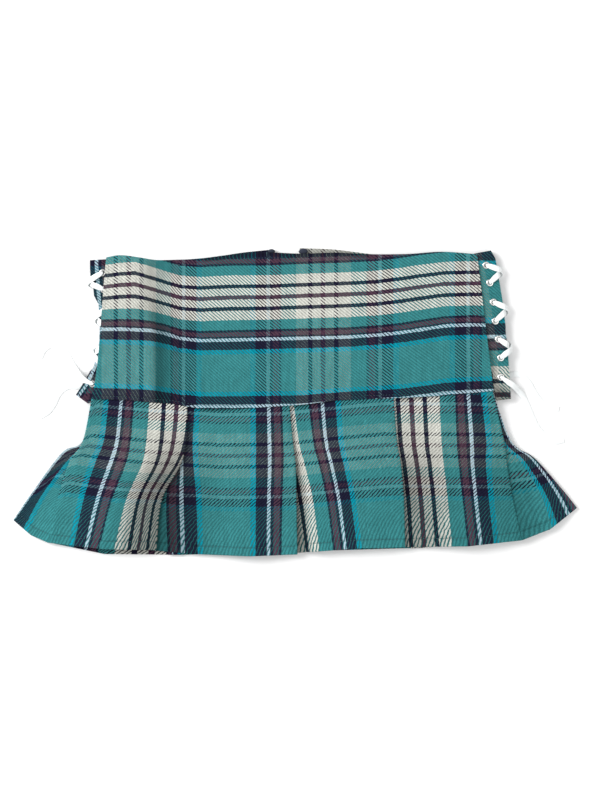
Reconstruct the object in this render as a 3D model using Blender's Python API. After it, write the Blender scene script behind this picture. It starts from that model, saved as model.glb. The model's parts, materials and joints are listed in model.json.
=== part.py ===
"""Low-rise pleated tartan skirt with laced sides, laid flat on its back.

Front and back yokes, lacing strips with eyelets and ribbon at both sides, and a
flared, pleated flounce. Lengths in the tables are millimetres on the layout
board: "across" runs to the wearer's left (+X), "down" runs to the hem (-Y), and
"lift" is the height of the middle of the cloth above the surface.
"""
import math
from collections import namedtuple

import bpy
import bmesh

for old in list(bpy.data.objects):
    bpy.data.objects.remove(old, do_unlink=True)

MM = 0.001
BOARD_ACROSS = 295.19     # board position of the part's origin
BOARD_DOWN = 401.9
CLOTH = 1.2               # thickness of the brushed twill
HALF = CLOTH / 2
LAYER = 1.5               # step from one layer of a pleat to the next
SIDE_STEPS = 2            # rows between two measured levels of a fold line

EYELET_HOLE = 2.0         # radii and heights of an eyelet
EYELET_FLANGE = 3.65
EYELET_BARREL = 2.4
EYELET_THICK = 0.7
EYELET_SIDES = 10
STRIP_HOLE = 2.75
FRONT_STRIP_LIFT = 5.9
BACK_STRIP_LIFT = 2.6
CLEAR = 0.3

RIBBON_WIDTH = 5.0
RIBBON_GATHERED = 3.0
RIBBON_THICK = 0.5
RIBBON_TOP = 8.15         # heights of the ribbon's middle: over, inside and under the strips
RIBBON_FRONT_INSIDE = 4.75
RIBBON_BACK_INSIDE = 3.75
RIBBON_UNDER = 0.4

TEAL = (0.055, 0.27, 0.27)
NAVY = (0.012, 0.014, 0.035)
CREAM = (0.72, 0.71, 0.64)
METAL = (0.80, 0.80, 0.78)

# ---------------------------------------------------------------- tables
# Front yoke, one row for each section from its top edge to its seam.
YokeSection = namedtuple("YokeSection", "name top_across top_down seam_across seam_down top_lift mid_lift seam_lift")
FRONT_YOKE = [
    YokeSection("left_edge", 107.0, 258.0, 92.5, 400.6, 10.4, 10.4, 10.2),
    YokeSection("left_crown", 121.0, 255.8, 109.0, 401.0, 10.0, 10.2, 10.0),
    YokeSection("left_slope", 140.0, 258.0, 130.0, 401.2, 8.6, 8.8, 9.8),
    YokeSection("trough_left", 156.0, 260.3, 150.0, 402.0, 5.2, 5.6, 9.7),
    YokeSection("trough", 176.0, 260.0, 172.0, 403.5, 4.0, 4.4, 9.6),
    YokeSection("trough_right", 200.0, 258.8, 200.0, 408.0, 4.4, 5.0, 9.6),
    YokeSection("panel_two", 236.0, 254.4, 236.0, 408.5, 5.2, 6.0, 9.6),
    YokeSection("left_of_centre", 270.0, 253.0, 270.0, 406.5, 5.6, 6.4, 9.6),
    YokeSection("centre", 302.0, 254.0, 302.0, 404.4, 5.6, 6.4, 9.6),
    YokeSection("right_of_centre", 336.0, 253.0, 336.0, 400.3, 5.6, 6.4, 9.6),
    YokeSection("pleat_three", 371.0, 254.6, 371.0, 398.5, 5.6, 6.4, 9.6),
    YokeSection("panel_four", 408.0, 254.3, 409.0, 397.2, 5.8, 6.6, 9.6),
    YokeSection("right_slope", 442.0, 252.2, 449.0, 394.8, 6.6, 7.0, 9.6),
    YokeSection("right_edge", 476.7, 254.6, 493.0, 390.6, 7.6, 7.6, 9.7),
]
# Back yoke: its top edge stands a little above the front's and parts at the centre back.
BackSection = namedtuple("BackSection", "name top_across top_down seam_across seam_down")
BACK_YOKE_LEFT = [
    BackSection("side", 113.5, 260.0, 111.0, 399.7),
    BackSection("hip", 150.0, 261.5, 142.0, 399.6),
    BackSection("panel", 205.0, 258.0, 203.0, 399.5),
    BackSection("crown", 243.0, 252.6, 250.0, 399.0),
    BackSection("corner", 272.5, 249.6, 289.85, 398.6),
]
BACK_YOKE_RIGHT = [
    BackSection("corner", 300.0, 248.2, 290.15, 398.6),
    BackSection("crown", 335.0, 249.6, 335.0, 396.7),
    BackSection("panel", 385.0, 255.4, 387.0, 393.9),
    BackSection("hip", 430.0, 254.4, 438.0, 391.7),
    BackSection("side", 474.0, 256.0, 488.0, 388.6),
]

# Flounce, one row for each fold line, at five levels from the seam to the hem.
# rise: how far the cloth turns up (+) or down (-) at the line, 0 where it runs on.
FoldLine = namedtuple(
    "FoldLine",
    "name seam_across seam_down hip_across hip_down drop_across drop_down "
    "low_across low_down hem_across hem_down seam_lift hem_lift rise",
)
LEFT_SIDE_LINES = [
    FoldLine("side_seam_left", 92.2, 400.2, 83.0, 441.0, 62.0, 453.0, 32.0, 493.0, 13.4, 520.3, 5.1, 2.1, 0),
    FoldLine("flare_left", 104.0, 398.0, 92.0, 441.0, 73.0, 460.0, 47.0, 497.0, 31.0, 535.0, 5.1, 3.4, 0),
    FoldLine("side_pleat_left_inner", 119.0, 396.0, 108.0, 441.0, 86.0, 463.0, 66.0, 500.0, 53.0, 543.0, 5.1, 5.1, LAYER),
    FoldLine("side_pleat_left_edge", 92.4, 400.2, 83.5, 441.0, 70.0, 462.0, 58.0, 500.0, 48.0, 542.0, 6.6, 6.6, LAYER),
]
FRONT_INNER_LINES = [
    FoldLine("panel_one_crown", 142.0, 396.0, 138.0, 441.0, 133.0, 465.0, 118.0, 500.0, 104.0, 548.5, 8.1, 8.6, 0),
    FoldLine("pleat_one_edge", 187.0, 397.0, 186.0, 441.0, 180.0, 465.0, 161.5, 500.0, 156.0, 549.5, 8.1, 8.1, -LAYER),
    FoldLine("pleat_one_inner", 159.5, 397.0, 160.0, 441.0, 158.0, 465.0, 148.0, 500.0, 146.0, 550.0, 6.6, 6.6, -LAYER),
    FoldLine("panel_two_left", 194.5, 398.0, 192.5, 441.0, 193.5, 465.0, 197.0, 500.0, 199.0, 554.0, 5.1, 5.1, 0),
    FoldLine("panel_two_crown", 250.0, 398.0, 250.0, 441.0, 250.0, 465.0, 250.0, 500.0, 250.0, 555.6, 8.1, 8.4, 0),
    FoldLine("pleat_two_edge", 288.4, 398.0, 292.5, 441.0, 295.3, 465.0, 296.0, 500.0, 297.0, 554.0, 8.1, 8.1, -LAYER),
    FoldLine("pleat_two_inner", 259.0, 398.0, 264.0, 441.0, 268.0, 465.0, 276.0, 500.0, 281.0, 554.0, 6.6, 6.6, -LAYER),
    FoldLine("panel_three_valley", 290.6, 398.0, 294.6, 441.0, 298.0, 465.0, 302.0, 500.0, 306.0, 551.8, 5.1, 5.1, 0),
    FoldLine("panel_three_ridge", 296.0, 397.0, 299.5, 441.0, 303.5, 465.0, 309.5, 500.0, 314.0, 551.2, 5.1, 8.4, 0),
    FoldLine("panel_three_crown", 348.0, 394.0, 349.0, 441.0, 352.0, 465.0, 357.0, 500.0, 361.5, 547.6, 8.1, 8.2, 0),
    FoldLine("pleat_three_edge", 392.5, 392.0, 396.5, 441.0, 400.5, 465.0, 403.5, 500.0, 404.5, 547.0, 8.1, 8.1, -LAYER),
    FoldLine("pleat_three_inner", 363.5, 392.0, 368.0, 441.0, 373.0, 465.0, 378.0, 500.0, 381.0, 547.0, 6.6, 6.6, -LAYER),
    FoldLine("panel_four_left", 399.0, 392.0, 402.0, 441.0, 406.0, 465.0, 410.0, 500.0, 413.0, 546.8, 5.1, 5.1, 0),
    FoldLine("panel_four_crown", 455.0, 389.0, 457.0, 441.0, 459.0, 465.0, 463.0, 500.0, 468.0, 545.6, 8.1, 8.3, 0),
]
RIGHT_SIDE_LINES = [
    FoldLine("side_pleat_right_edge", 491.5, 389.0, 503.5, 441.0, 506.5, 465.0, 512.5, 500.0, 521.0, 540.0, 8.1, 8.1, -LAYER),
    FoldLine("side_pleat_right_inner", 463.0, 389.0, 482.0, 441.0, 496.0, 465.0, 506.0, 500.0, 516.5, 540.5, 6.6, 6.6, -LAYER),
    FoldLine("flare_right", 477.0, 389.0, 503.0, 441.0, 522.0, 462.0, 541.0, 496.0, 550.0, 529.0, 5.1, 3.4, 0),
    FoldLine("side_seam_right", 491.5, 389.0, 511.0, 441.0, 534.0, 458.0, 560.0, 487.0, 577.0, 508.0, 5.1, 2.1, 0),
]
# Back flounce: plain knife pleats like the front's, one row for each.
BackPleat = namedtuple("BackPleat", "name seam_across hem_across seam_depth hem_depth seam_down hem_down")
BACK_PLEATS = [
    BackPleat("back_pleat_one", 196.0, 178.0, 27.0, 10.0, 400.0, 554.6),
    BackPleat("back_pleat_two", 300.0, 302.0, 27.0, 14.0, 399.0, 551.0),
    BackPleat("back_pleat_three", 396.0, 412.0, 27.0, 12.0, 394.0, 548.0),
]

# Lacing strips, one row for each eyelet: where it is, and the cloth to each side of it.
StripCell = namedtuple("StripCell", "name across down inner outer")
RIGHT_STRIP = [
    StripCell("top", 483.5, 251.9, 13.5, 7.4),
    StripCell("eyelet_1", 486.0, 265.3, 13.7, 10.4),
    StripCell("eyelet_2", 489.7, 282.9, 14.5, 9.6),
    StripCell("eyelet_3", 493.3, 302.2, 15.5, 9.2),
    StripCell("eyelet_4", 495.2, 321.1, 15.5, 9.6),
    StripCell("eyelet_5", 498.3, 339.2, 15.5, 8.2),
    StripCell("eyelet_6", 500.6, 357.8, 15.0, 7.6),
    StripCell("eyelet_7", 500.8, 377.2, 8.0, 8.6),
    StripCell("bottom", 503.4, 399.8, 7.0, 7.6),
]
LEFT_STRIP = [
    StripCell("top", 102.0, 259.6, 13.0, 12.0),
    StripCell("eyelet_1", 102.8, 272.8, 14.0, 12.4),
    StripCell("eyelet_2", 104.0, 289.6, 15.0, 10.4),
    StripCell("eyelet_3", 106.0, 309.0, 15.0, 7.0),
    StripCell("eyelet_4", 106.4, 327.6, 15.0, 6.6),
    StripCell("eyelet_5", 105.4, 346.0, 15.0, 6.6),
    StripCell("eyelet_6", 101.6, 365.0, 13.0, 7.0),
    StripCell("eyelet_7", 92.8, 384.0, 8.0, 8.6),
    StripCell("bottom", 82.0, 399.2, 7.6, 7.4),
]
# Free ends of the laces, over the front and from under the back, lying on the surface.
TailPoint = namedtuple("TailPoint", "across down lift")
TAILS = {
    "right_front": [TailPoint(508.8, 382.6, 8.15), TailPoint(514.4, 386.6, 6.6), TailPoint(519.5, 391.5, 3.0),
                    TailPoint(524.5, 398.5, 0.6), TailPoint(529.0, 408.0, 0.35), TailPoint(533.0, 418.0, 0.35),
                    TailPoint(538.5, 428.5, 0.35), TailPoint(546.5, 436.5, 0.35), TailPoint(556.0, 441.5, 0.35),
                    TailPoint(564.5, 440.0, 0.35)],
    "right_back": [TailPoint(509.5, 375.5, 0.4), TailPoint(516.5, 374.0, 0.35), TailPoint(523.5, 376.5, 0.35),
                   TailPoint(529.5, 383.0, 0.35), TailPoint(534.5, 392.0, 0.35), TailPoint(541.0, 401.0, 0.35),
                   TailPoint(550.0, 407.0, 0.35), TailPoint(559.5, 409.0, 0.35)],
    "left_front": [TailPoint(84.4, 380.0, 8.15), TailPoint(79.0, 374.6, 6.6), TailPoint(74.8, 368.8, 3.0),
                   TailPoint(70.8, 362.4, 0.6), TailPoint(66.6, 354.0, 0.35), TailPoint(60.0, 347.0, 0.35),
                   TailPoint(51.0, 345.0, 0.35), TailPoint(43.4, 349.5, 0.35), TailPoint(39.0, 358.0, 0.35)],
    "left_back": [TailPoint(85.0, 388.4, 0.4), TailPoint(78.6, 387.0, 0.35), TailPoint(71.0, 386.0, 0.35),
                  TailPoint(63.4, 388.6, 0.35), TailPoint(57.4, 395.0, 0.35), TailPoint(53.4, 403.5, 0.35),
                  TailPoint(47.8, 411.5, 0.35), TailPoint(39.6, 416.5, 0.35)],
}


# ---------------------------------------------------------------- helpers
def place(across, down, lift):
    """Board position in millimetres to metres in the part's frame."""
    return ((across - BOARD_ACROSS) * MM, (BOARD_DOWN - down) * MM, lift * MM)


def material(name, colour, roughness, metallic=0.0):
    made = bpy.data.materials.new(name)
    made.use_nodes = True
    shader = made.node_tree.nodes["Principled BSDF"]
    shader.inputs["Base Color"].default_value = (*colour, 1.0)
    shader.inputs["Roughness"].default_value = roughness
    shader.inputs["Metallic"].default_value = metallic
    return made


def add_object(name, mesh, finish, smooth=False):
    mesh.materials.append(finish)
    if smooth:
        mesh.shade_smooth()
        mesh.set_sharp_from_angle(angle=math.radians(40))
    made = bpy.data.objects.new(name, mesh)
    bpy.context.scene.collection.objects.link(made)
    return made


def closed_mesh(name, points, faces):
    mesh = bpy.data.meshes.new(name)
    mesh.from_pydata([place(*p) for p in points], [], faces)
    work = bmesh.new()
    work.from_mesh(mesh)
    bmesh.ops.recalc_face_normals(work, faces=work.faces)
    bmesh.ops.triangulate(work, faces=work.faces)
    work.to_mesh(mesh)
    work.free()
    return mesh


def wall_from_rows(name, upper, lower):
    """Closed wall between two matching grids of points, rows[level][column]."""
    levels, columns = len(upper), len(upper[0])
    points = [p for row in upper for p in row] + [p for row in lower for p in row]
    shift = levels * columns
    faces = []
    for i in range(levels - 1):
        for j in range(columns - 1):
            a, b = i * columns + j, i * columns + j + 1
            c, d = a + columns, b + columns
            faces.append((a, c, d, b))
            faces.append((a + shift, b + shift, d + shift, c + shift))
    rim = [j for j in range(columns)]
    rim += [i * columns + columns - 1 for i in range(1, levels)]
    rim += [(levels - 1) * columns + j for j in range(columns - 2, -1, -1)]
    rim += [i * columns for i in range(levels - 2, 0, -1)]
    for k, a in enumerate(rim):
        b = rim[(k + 1) % len(rim)]
        faces.append((a, b, b + shift, a + shift))
    return closed_mesh(name, points, faces)


def smooth_between(values, step):
    """Value on a smooth curve through evenly spaced values (step counts in spans)."""
    last = len(values) - 1
    k = min(int(step), last - 1)
    t = step - k
    before = values[k - 1] if k > 0 else 2 * values[0] - values[1]
    after = values[k + 2] if k + 2 <= last else 2 * values[last] - values[last - 1]
    a, b = values[k], values[k + 1]
    return 0.5 * (2 * a + (b - before) * t + (2 * before - 5 * a + 4 * b - after) * t * t
                  + (3 * a - before - 3 * b + after) * t ** 3)


def unit2(x, z):
    size = math.hypot(x, z) or 1.0
    return x / size, z / size


def offset_section(section):
    """Upper and lower edge of a cloth section, half a thickness to each side of its middle."""
    upper, lower = [], []
    last = len(section) - 1
    for i, (across, down, lift) in enumerate(section):
        normals = []
        for a, b in ((i - 1, i), (i, i + 1)):
            if 0 <= a and b <= last:
                dx, dz = unit2(section[b][0] - section[a][0], section[b][2] - section[a][2])
                normals.append((-dz, dx))
        nx, nz = unit2(sum(n[0] for n in normals), sum(n[1] for n in normals))
        spread = max(nx * normals[0][0] + nz * normals[0][1], 0.55)
        reach = HALF / spread
        upper.append((across + nx * reach, down, lift + nz * reach))
        lower.append((across - nx * reach, down, lift - nz * reach))
    return upper, lower


# ---------------------------------------------------------------- pieces
def build_yoke_front(finish):
    """Sections from the top edge to the seam; the lift sags or crowns on the way."""
    upper, lower = [], []
    spans = 6
    for k in range(spans + 1):
        t = k / spans
        mid_way = 4 * t * (1 - t)
        row = []
        for s in FRONT_YOKE:
            near_seam = max(0.0, (t - 0.5) / 0.33)
            body = s.top_lift + (s.mid_lift - s.top_lift) * min(1.0, mid_way)
            lift = body + (s.seam_lift - body) * min(1.0, near_seam)
            row.append((s.top_across + (s.seam_across - s.top_across) * t,
                        s.top_down + (s.seam_down - s.top_down) * t, lift))
        upper.append([(a, d, z + HALF) for a, d, z in row])
        lower.append([(a, d, z - HALF) for a, d, z in row])
    add_object("yoke_front", wall_from_rows("yoke_front", upper, lower), finish)


def build_yoke_back(name, sections, finish):
    upper, lower = [], []
    for k in range(3):
        t = k / 2
        row = [(s.top_across + (s.seam_across - s.top_across) * t,
                s.top_down + (s.seam_down - s.top_down) * t) for s in sections]
        upper.append([(a, d, CLOTH) for a, d in row])
        lower.append([(a, d, 0.0) for a, d in row])
    add_object(name, wall_from_rows(name, upper, lower), finish)


def line_levels(line):
    """Middle of the cloth at each level of a fold line, with the second point of a turn."""
    across = [line.seam_across, line.hip_across, line.drop_across, line.low_across, line.hem_across]
    down = [line.seam_down, line.hip_down, line.drop_down, line.low_down, line.hem_down]
    levels = []
    total = 4 * SIDE_STEPS
    for k in range(total + 1):
        step = k / SIDE_STEPS
        lift = line.seam_lift + (line.hem_lift - line.seam_lift) * k / total
        levels.append((smooth_between(across, step), smooth_between(down, step), lift))
    return levels


def build_flounce(name, lines, finish):
    columns = []
    for line in lines:
        levels = line_levels(line)
        columns.append(levels)
        if line.rise:
            columns.append([(a, d, z + line.rise) for a, d, z in levels])
    upper, lower = [], []
    for k in range(len(columns[0])):
        up, low = offset_section([column[k] for column in columns])
        upper.append(up)
        lower.append(low)
    add_object(name, wall_from_rows(name, upper, lower), finish)


def back_side_line(line):
    """A side fold line of the back: the front's line in plan, turned over in height."""
    turned = {"side": (3.6, 0.6, 0), "flar": (3.6, 0.6 + 0.9, 0)}
    if line.rise:
        inner = "inner" in line.name
        lift = 3.6 if inner else 2.1
        rise = -LAYER
        if line.name.startswith("side_pleat_right"):
            lift, rise = (2.1, LAYER) if inner else (0.6, LAYER)
        return line._replace(seam_lift=lift, hem_lift=lift, rise=rise)
    seam_lift, hem_lift, rise = turned[line.name[:4]]
    return line._replace(seam_lift=seam_lift, hem_lift=hem_lift, rise=rise)


def back_inner_lines():
    """Fold edge on the surface, inner fold, and the next panel dropping back to the surface."""
    lines = []

    def straight(name, seam_across, hem_across, seam_down, hem_down, lift, rise):
        at = [seam_across + (hem_across - seam_across) * t for t in (0, 0.27, 0.42, 0.66, 1)]
        lines.append(FoldLine(name, at[0], seam_down, at[1], 441.0, at[2], 465.0, at[3], 500.0,
                              at[4], hem_down, lift, lift, rise))

    straight("back_panel_one", 140.0, 104.0, 400.0, 554.0, 0.6, 0)
    for pleat in BACK_PLEATS:
        straight(pleat.name + "_edge", pleat.seam_across, pleat.hem_across, pleat.seam_down, pleat.hem_down, 0.6, LAYER)
        straight(pleat.name + "_inner", pleat.seam_across - pleat.seam_depth, pleat.hem_across - pleat.hem_depth,
                 pleat.seam_down, pleat.hem_down, 2.1, LAYER)
        straight(pleat.name + "_pass", pleat.seam_across + 1.5, pleat.hem_across + 1.5,
                 pleat.seam_down, pleat.hem_down, 3.6, 0)
        straight(pleat.name + "_drop", pleat.seam_across + 8.0, pleat.hem_across + 8.0,
                 pleat.seam_down, pleat.hem_down, 0.6, 0)
    return lines


def strip_frames(cells):
    """Direction along the strip and out of its side at each row of its table."""
    frames = []
    outward = 1.0 if cells[0].across > BOARD_ACROSS else -1.0
    for i, cell in enumerate(cells):
        a, b = cells[max(i - 1, 0)], cells[min(i + 1, len(cells) - 1)]
        dx, dy = unit2(b.across - a.across, b.down - a.down)
        frames.append(((dx, dy), (dy * outward, -dx * outward)))
    return frames


def build_strip(name, cells, lift, finish):
    """Flat strip of cells, each ringed round its eyelet hole."""
    frames = strip_frames(cells)

    def edge_points(i, j):
        """Four points across the strip half way between rows i and j (or at an end row)."""
        centre = ((cells[i].across + cells[j].across) / 2, (cells[i].down + cells[j].down) / 2)
        inner = (cells[i].inner + cells[j].inner) / 2
        outer = (cells[i].outer + cells[j].outer) / 2
        out = [(frames[i][1][k] + frames[j][1][k]) / 2 for k in (0, 1)]
        out = unit2(*out)
        return [(centre[0] + out[0] * r, centre[1] + out[1] * r) for r in (-inner, -inner / 3, outer / 3, outer)]

    count = len(cells)
    edges = [edge_points(0, 0)]
    edges += [edge_points(i, i + 1) for i in range(1, count - 2)]
    edges += [edge_points(count - 1, count - 1)]
    points, faces = [], []

    def add(plan):
        points.append((plan[0], plan[1], lift + HALF))
        points.append((plan[0], plan[1], lift - HALF))
        return len(points) - 2

    rows = [[add(p) for p in edge] for edge in edges]
    inner_side, outer_side = [rows[0][0]], [rows[0][3]]
    for i in range(1, count - 1):
        (along, out), cell = frames[i], cells[i]
        top, bottom = rows[i - 1], rows[i]
        sides = {}
        for key, reach in (("in", -cell.inner), ("out", cell.outer)):
            sides[key] = []
            for shift in (-2.6, 2.6):
                sides[key].append(add((cell.across + out[0] * reach + along[0] * shift,
                                       cell.down + out[1] * reach + along[1] * shift)))
        inner_side += sides["in"] + [bottom[0]]
        outer_side += sides["out"] + [bottom[3]]
        rim = top + sides["out"] + bottom[::-1] + sides["in"][::-1]
        ring = []
        for corner in rim:
            dx, dy = unit2(points[corner][0] - cell.across, points[corner][1] - cell.down)
            ring.append((math.atan2(dy, dx), corner))
        start = ring[0][0]
        turn = 1.0 if (math.atan2(math.sin(ring[1][0] - start), math.cos(ring[1][0] - start)) > 0) else -1.0
        hole = [add((cell.across + STRIP_HOLE * math.cos(start + turn * 2 * math.pi * k / 12),
                     cell.down + STRIP_HOLE * math.sin(start + turn * 2 * math.pi * k / 12))) for k in range(12)]
        for k in range(12):
            n = (k + 1) % 12
            faces.append((rim[k], rim[n], hole[n], hole[k]))
            faces.append((rim[n] + 1, rim[k] + 1, hole[k] + 1, hole[n] + 1))
            faces.append((hole[k], hole[n], hole[n] + 1, hole[k] + 1))
    border = rows[0] + outer_side[1:] + rows[-1][::-1][1:] + inner_side[::-1][1:-1]
    for k, a in enumerate(border):
        b = border[(k + 1) % len(border)]
        faces.append((b, a, a + 1, b + 1))
    add_object(name, closed_mesh(name, points, faces), finish)


def build_eyelet(name, cell, strip_lift, side, finish):
    """Flange outside the strip and a barrel through its hole; side is +1 up, -1 down."""
    face = strip_lift + side * HALF
    profile = [
        (EYELET_HOLE, face + side * (CLEAR + EYELET_THICK)),
        (EYELET_FLANGE - 0.35, face + side * (CLEAR + EYELET_THICK)),
        (EYELET_FLANGE, face + side * CLEAR),
        (EYELET_BARREL, face + side * CLEAR),
        (EYELET_BARREL, face - side * CLOTH),
        (EYELET_HOLE, face - side * CLOTH),
    ]
    points, faces = [], []
    size = len(profile)
    for k in range(EYELET_SIDES):
        turn = 2 * math.pi * k / EYELET_SIDES
        points += [(cell.across + r * math.cos(turn), cell.down + r * math.sin(turn), z) for r, z in profile]
    for k in range(EYELET_SIDES):
        n = (k + 1) % EYELET_SIDES
        for j in range(size):
            m = (j + 1) % size
            faces.append((k * size + j, n * size + j, n * size + m, k * size + m))
    add_object(name, closed_mesh(name, points, faces), finish, smooth=True)


def cross3(a, b):
    return (a[1] * b[2] - a[2] * b[1], a[2] * b[0] - a[0] * b[2], a[0] * b[1] - a[1] * b[0])


def unit3(v):
    size = math.sqrt(sum(c * c for c in v)) or 1.0
    return tuple(c / size for c in v)


def lace_route(cells, tail_front, tail_back):
    """Stations of one lace: position, direction across the ribbon, and its width.

    From the free end at the front's last eyelet it zigzags up: inside to the next
    eyelet, over the side edge in a cross to the back strip, inside to the next,
    and back; at the first pair it goes straight through, and the other half
    comes down the same way, crossing outside the edge.
    """
    eyelets = cells[1:-1]
    frames = strip_frames(cells)[1:-1]
    stations = []

    def put(across, down, lift, wide, width):
        stations.append(((across, down, lift), unit3(wide), width))

    def tail(points, reverse):
        ordered = list(reversed(points)) if reverse else list(points)
        for i, p in enumerate(ordered):
            a, b = ordered[max(i - 1, 0)], ordered[min(i + 1, len(ordered) - 1)]
            dx, dy = unit2(b.across - a.across, b.down - a.down)
            put(p.across, p.down, p.lift, (-dy, dx, 0), RIBBON_WIDTH)

    def flip(wide):
        """Keep the ribbon's width from turning over between stations."""
        last = stations[-1][1]
        return wide if sum(a * b for a, b in zip(last, wide)) >= 0 else tuple(-c for c in wide)

    def through(index, from_lift, to_lift, wide_out, first=True):
        cell = eyelets[index]
        lifts = [from_lift + (to_lift - from_lift) * t for t in (0.0, 0.35, 0.7, 1.0)]
        wide_in = stations[-1][1]
        wide_out = wide_out if sum(a * b for a, b in zip(wide_in, wide_out)) >= 0 else tuple(-c for c in wide_out)
        for t, lift in zip((0.0, 0.33, 0.66, 1.0), lifts):
            wide = tuple(a + (b - a) * t for a, b in zip(wide_in, wide_out))
            put(cell.across, cell.down, lift, wide, RIBBON_GATHERED)

    def inside(start, end, lift):
        a, b = eyelets[start], eyelets[end]
        dx, dy = unit2(b.across - a.across, b.down - a.down)
        for t in (0.3, 0.7):
            put(a.across + (b.across - a.across) * t, a.down + (b.down - a.down) * t, lift,
                flip((-dy, dx, 0)), RIBBON_WIDTH * 0.8)

    def wrap(start, end, downwards, reach):
        """Over the side edge from one eyelet to its diagonal partner on the other strip."""
        a, b = eyelets[start], eyelets[end]
        out_a, out_b = frames[start][1], frames[end][1]
        top, under = RIBBON_TOP, RIBBON_UNDER
        centre, high = (top + under) / 2, (top - under) / 2
        edge_a, edge_b = a.outer - 1.6, b.outer - 1.6
        arc = math.pi * (high + reach) / 2
        length = edge_a + arc + edge_b
        path = []
        for t in (0.38, 0.75):
            path.append((edge_a * t, 1.0, t * edge_a / length, None))
        for k in range(7):
            turn = math.pi / 2 - math.pi * k / 6
            s = (edge_a + arc * k / 6) / length
            path.append((None, math.sin(turn), s, math.cos(turn)))
        for t in (0.75, 0.38):
            path.append((edge_b * t, -1.0, 1 - t * edge_b / length, None))
        places = []
        for far, rise, s, bow in path:
            base = (a.across + (b.across - a.across) * s, a.down + (b.down - a.down) * s)
            out = unit2(out_a[0] + (out_b[0] - out_a[0]) * s, out_a[1] + (out_b[1] - out_a[1]) * s)
            edge = edge_a + (edge_b - edge_a) * s
            away = far if far is not None else edge + reach * bow
            side = rise if downwards else -rise
            places.append(((base[0] + out[0] * away, base[1] + out[1] * away, centre + high * side),
                           (out[0] * (bow or 0.0) * 1.0, out[1] * (bow or 0.0), side if bow is None else side)))
        for i, (p, normal) in enumerate(places):
            q, r = places[max(i - 1, 0)][0], places[min(i + 1, len(places) - 1)][0]
            along = unit3(tuple(r[k] - q[k] for k in range(3)))
            wide = unit3(cross3(unit3(normal), along))
            put(*p, flip(wide), RIBBON_WIDTH * (0.8 if i in (0, len(places) - 1) else 1.0))

    def plan_wide(start, end):
        a, b = eyelets[start], eyelets[end]
        dx, dy = unit2(b.across - a.across, b.down - a.down)
        return (-dy, dx, 0)

    def out_wide(index):
        out = frames[index][1]
        return (-out[1], out[0], 0)

    near, far = 6.0, 3.4
    tail(tail_front, True)
    through(6, RIBBON_TOP, RIBBON_FRONT_INSIDE, plan_wide(6, 5))
    inside(6, 5, RIBBON_FRONT_INSIDE)
    through(5, RIBBON_FRONT_INSIDE, RIBBON_TOP, out_wide(5))
    wrap(5, 4, True, near)
    through(4, RIBBON_UNDER, RIBBON_BACK_INSIDE, plan_wide(4, 3))
    inside(4, 3, RIBBON_BACK_INSIDE)
    through(3, RIBBON_BACK_INSIDE, RIBBON_UNDER, out_wide(3))
    wrap(3, 2, False, near)
    through(2, RIBBON_TOP, RIBBON_FRONT_INSIDE, plan_wide(2, 1))
    inside(2, 1, RIBBON_FRONT_INSIDE)
    through(1, RIBBON_FRONT_INSIDE, RIBBON_TOP, out_wide(1))
    wrap(1, 0, True, far)
    through(0, RIBBON_UNDER, RIBBON_TOP, out_wide(0))
    wrap(0, 1, True, near)
    through(1, RIBBON_UNDER, RIBBON_BACK_INSIDE, plan_wide(1, 2))
    inside(1, 2, RIBBON_BACK_INSIDE)
    through(2, RIBBON_BACK_INSIDE, RIBBON_UNDER, out_wide(2))
    wrap(2, 3, False, far)
    through(3, RIBBON_TOP, RIBBON_FRONT_INSIDE, plan_wide(3, 4))
    inside(3, 4, RIBBON_FRONT_INSIDE)
    through(4, RIBBON_FRONT_INSIDE, RIBBON_TOP, out_wide(4))
    wrap(4, 5, True, far)
    through(5, RIBBON_UNDER, RIBBON_BACK_INSIDE, plan_wide(5, 6))
    inside(5, 6, RIBBON_BACK_INSIDE)
    through(6, RIBBON_BACK_INSIDE, RIBBON_UNDER, out_wide(6))
    tail(tail_back, False)
    return stations


def build_lace(name, cells, tail_front, tail_back, finish):
    stations = lace_route(cells, tail_front, tail_back)
    points, faces = [], []
    last = len(stations) - 1
    for i, (p, wide, width) in enumerate(stations):
        q, r = stations[max(i - 1, 0)][0], stations[min(i + 1, last)][0]
        along = unit3(tuple(r[k] - q[k] for k in range(3)))
        thick = unit3(cross3(along, wide))
        wide = unit3(cross3(thick, along))
        # keep the sides from swapping where the width was turned round
        if i and sum(a * b for a, b in zip(wide, previous)) < 0:
            wide, thick = tuple(-c for c in wide), tuple(-c for c in thick)
        previous = wide
        for u, v in ((-1, -1), (1, -1), (1, 1), (-1, 1)):
            points.append(tuple(p[k] + wide[k] * u * width / 2 + thick[k] * v * RIBBON_THICK / 2 for k in range(3)))
    for i in range(last):
        for j in range(4):
            m = (j + 1) % 4
            faces.append((i * 4 + j, (i + 1) * 4 + j, (i + 1) * 4 + m, i * 4 + m))
    faces.append((0, 1, 2, 3))
    faces.append(tuple(last * 4 + j for j in (3, 2, 1, 0)))
    add_object(name, closed_mesh(name, points, faces), finish)


# ---------------------------------------------------------------- build
cloth = material("tartan_twill", TEAL, 0.85)
cloth_dark = material("tartan_strip", NAVY, 0.85)
ribbon = material("white_ribbon", CREAM, 0.6)
metal = material("eyelet_metal", METAL, 0.3, 1.0)

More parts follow.
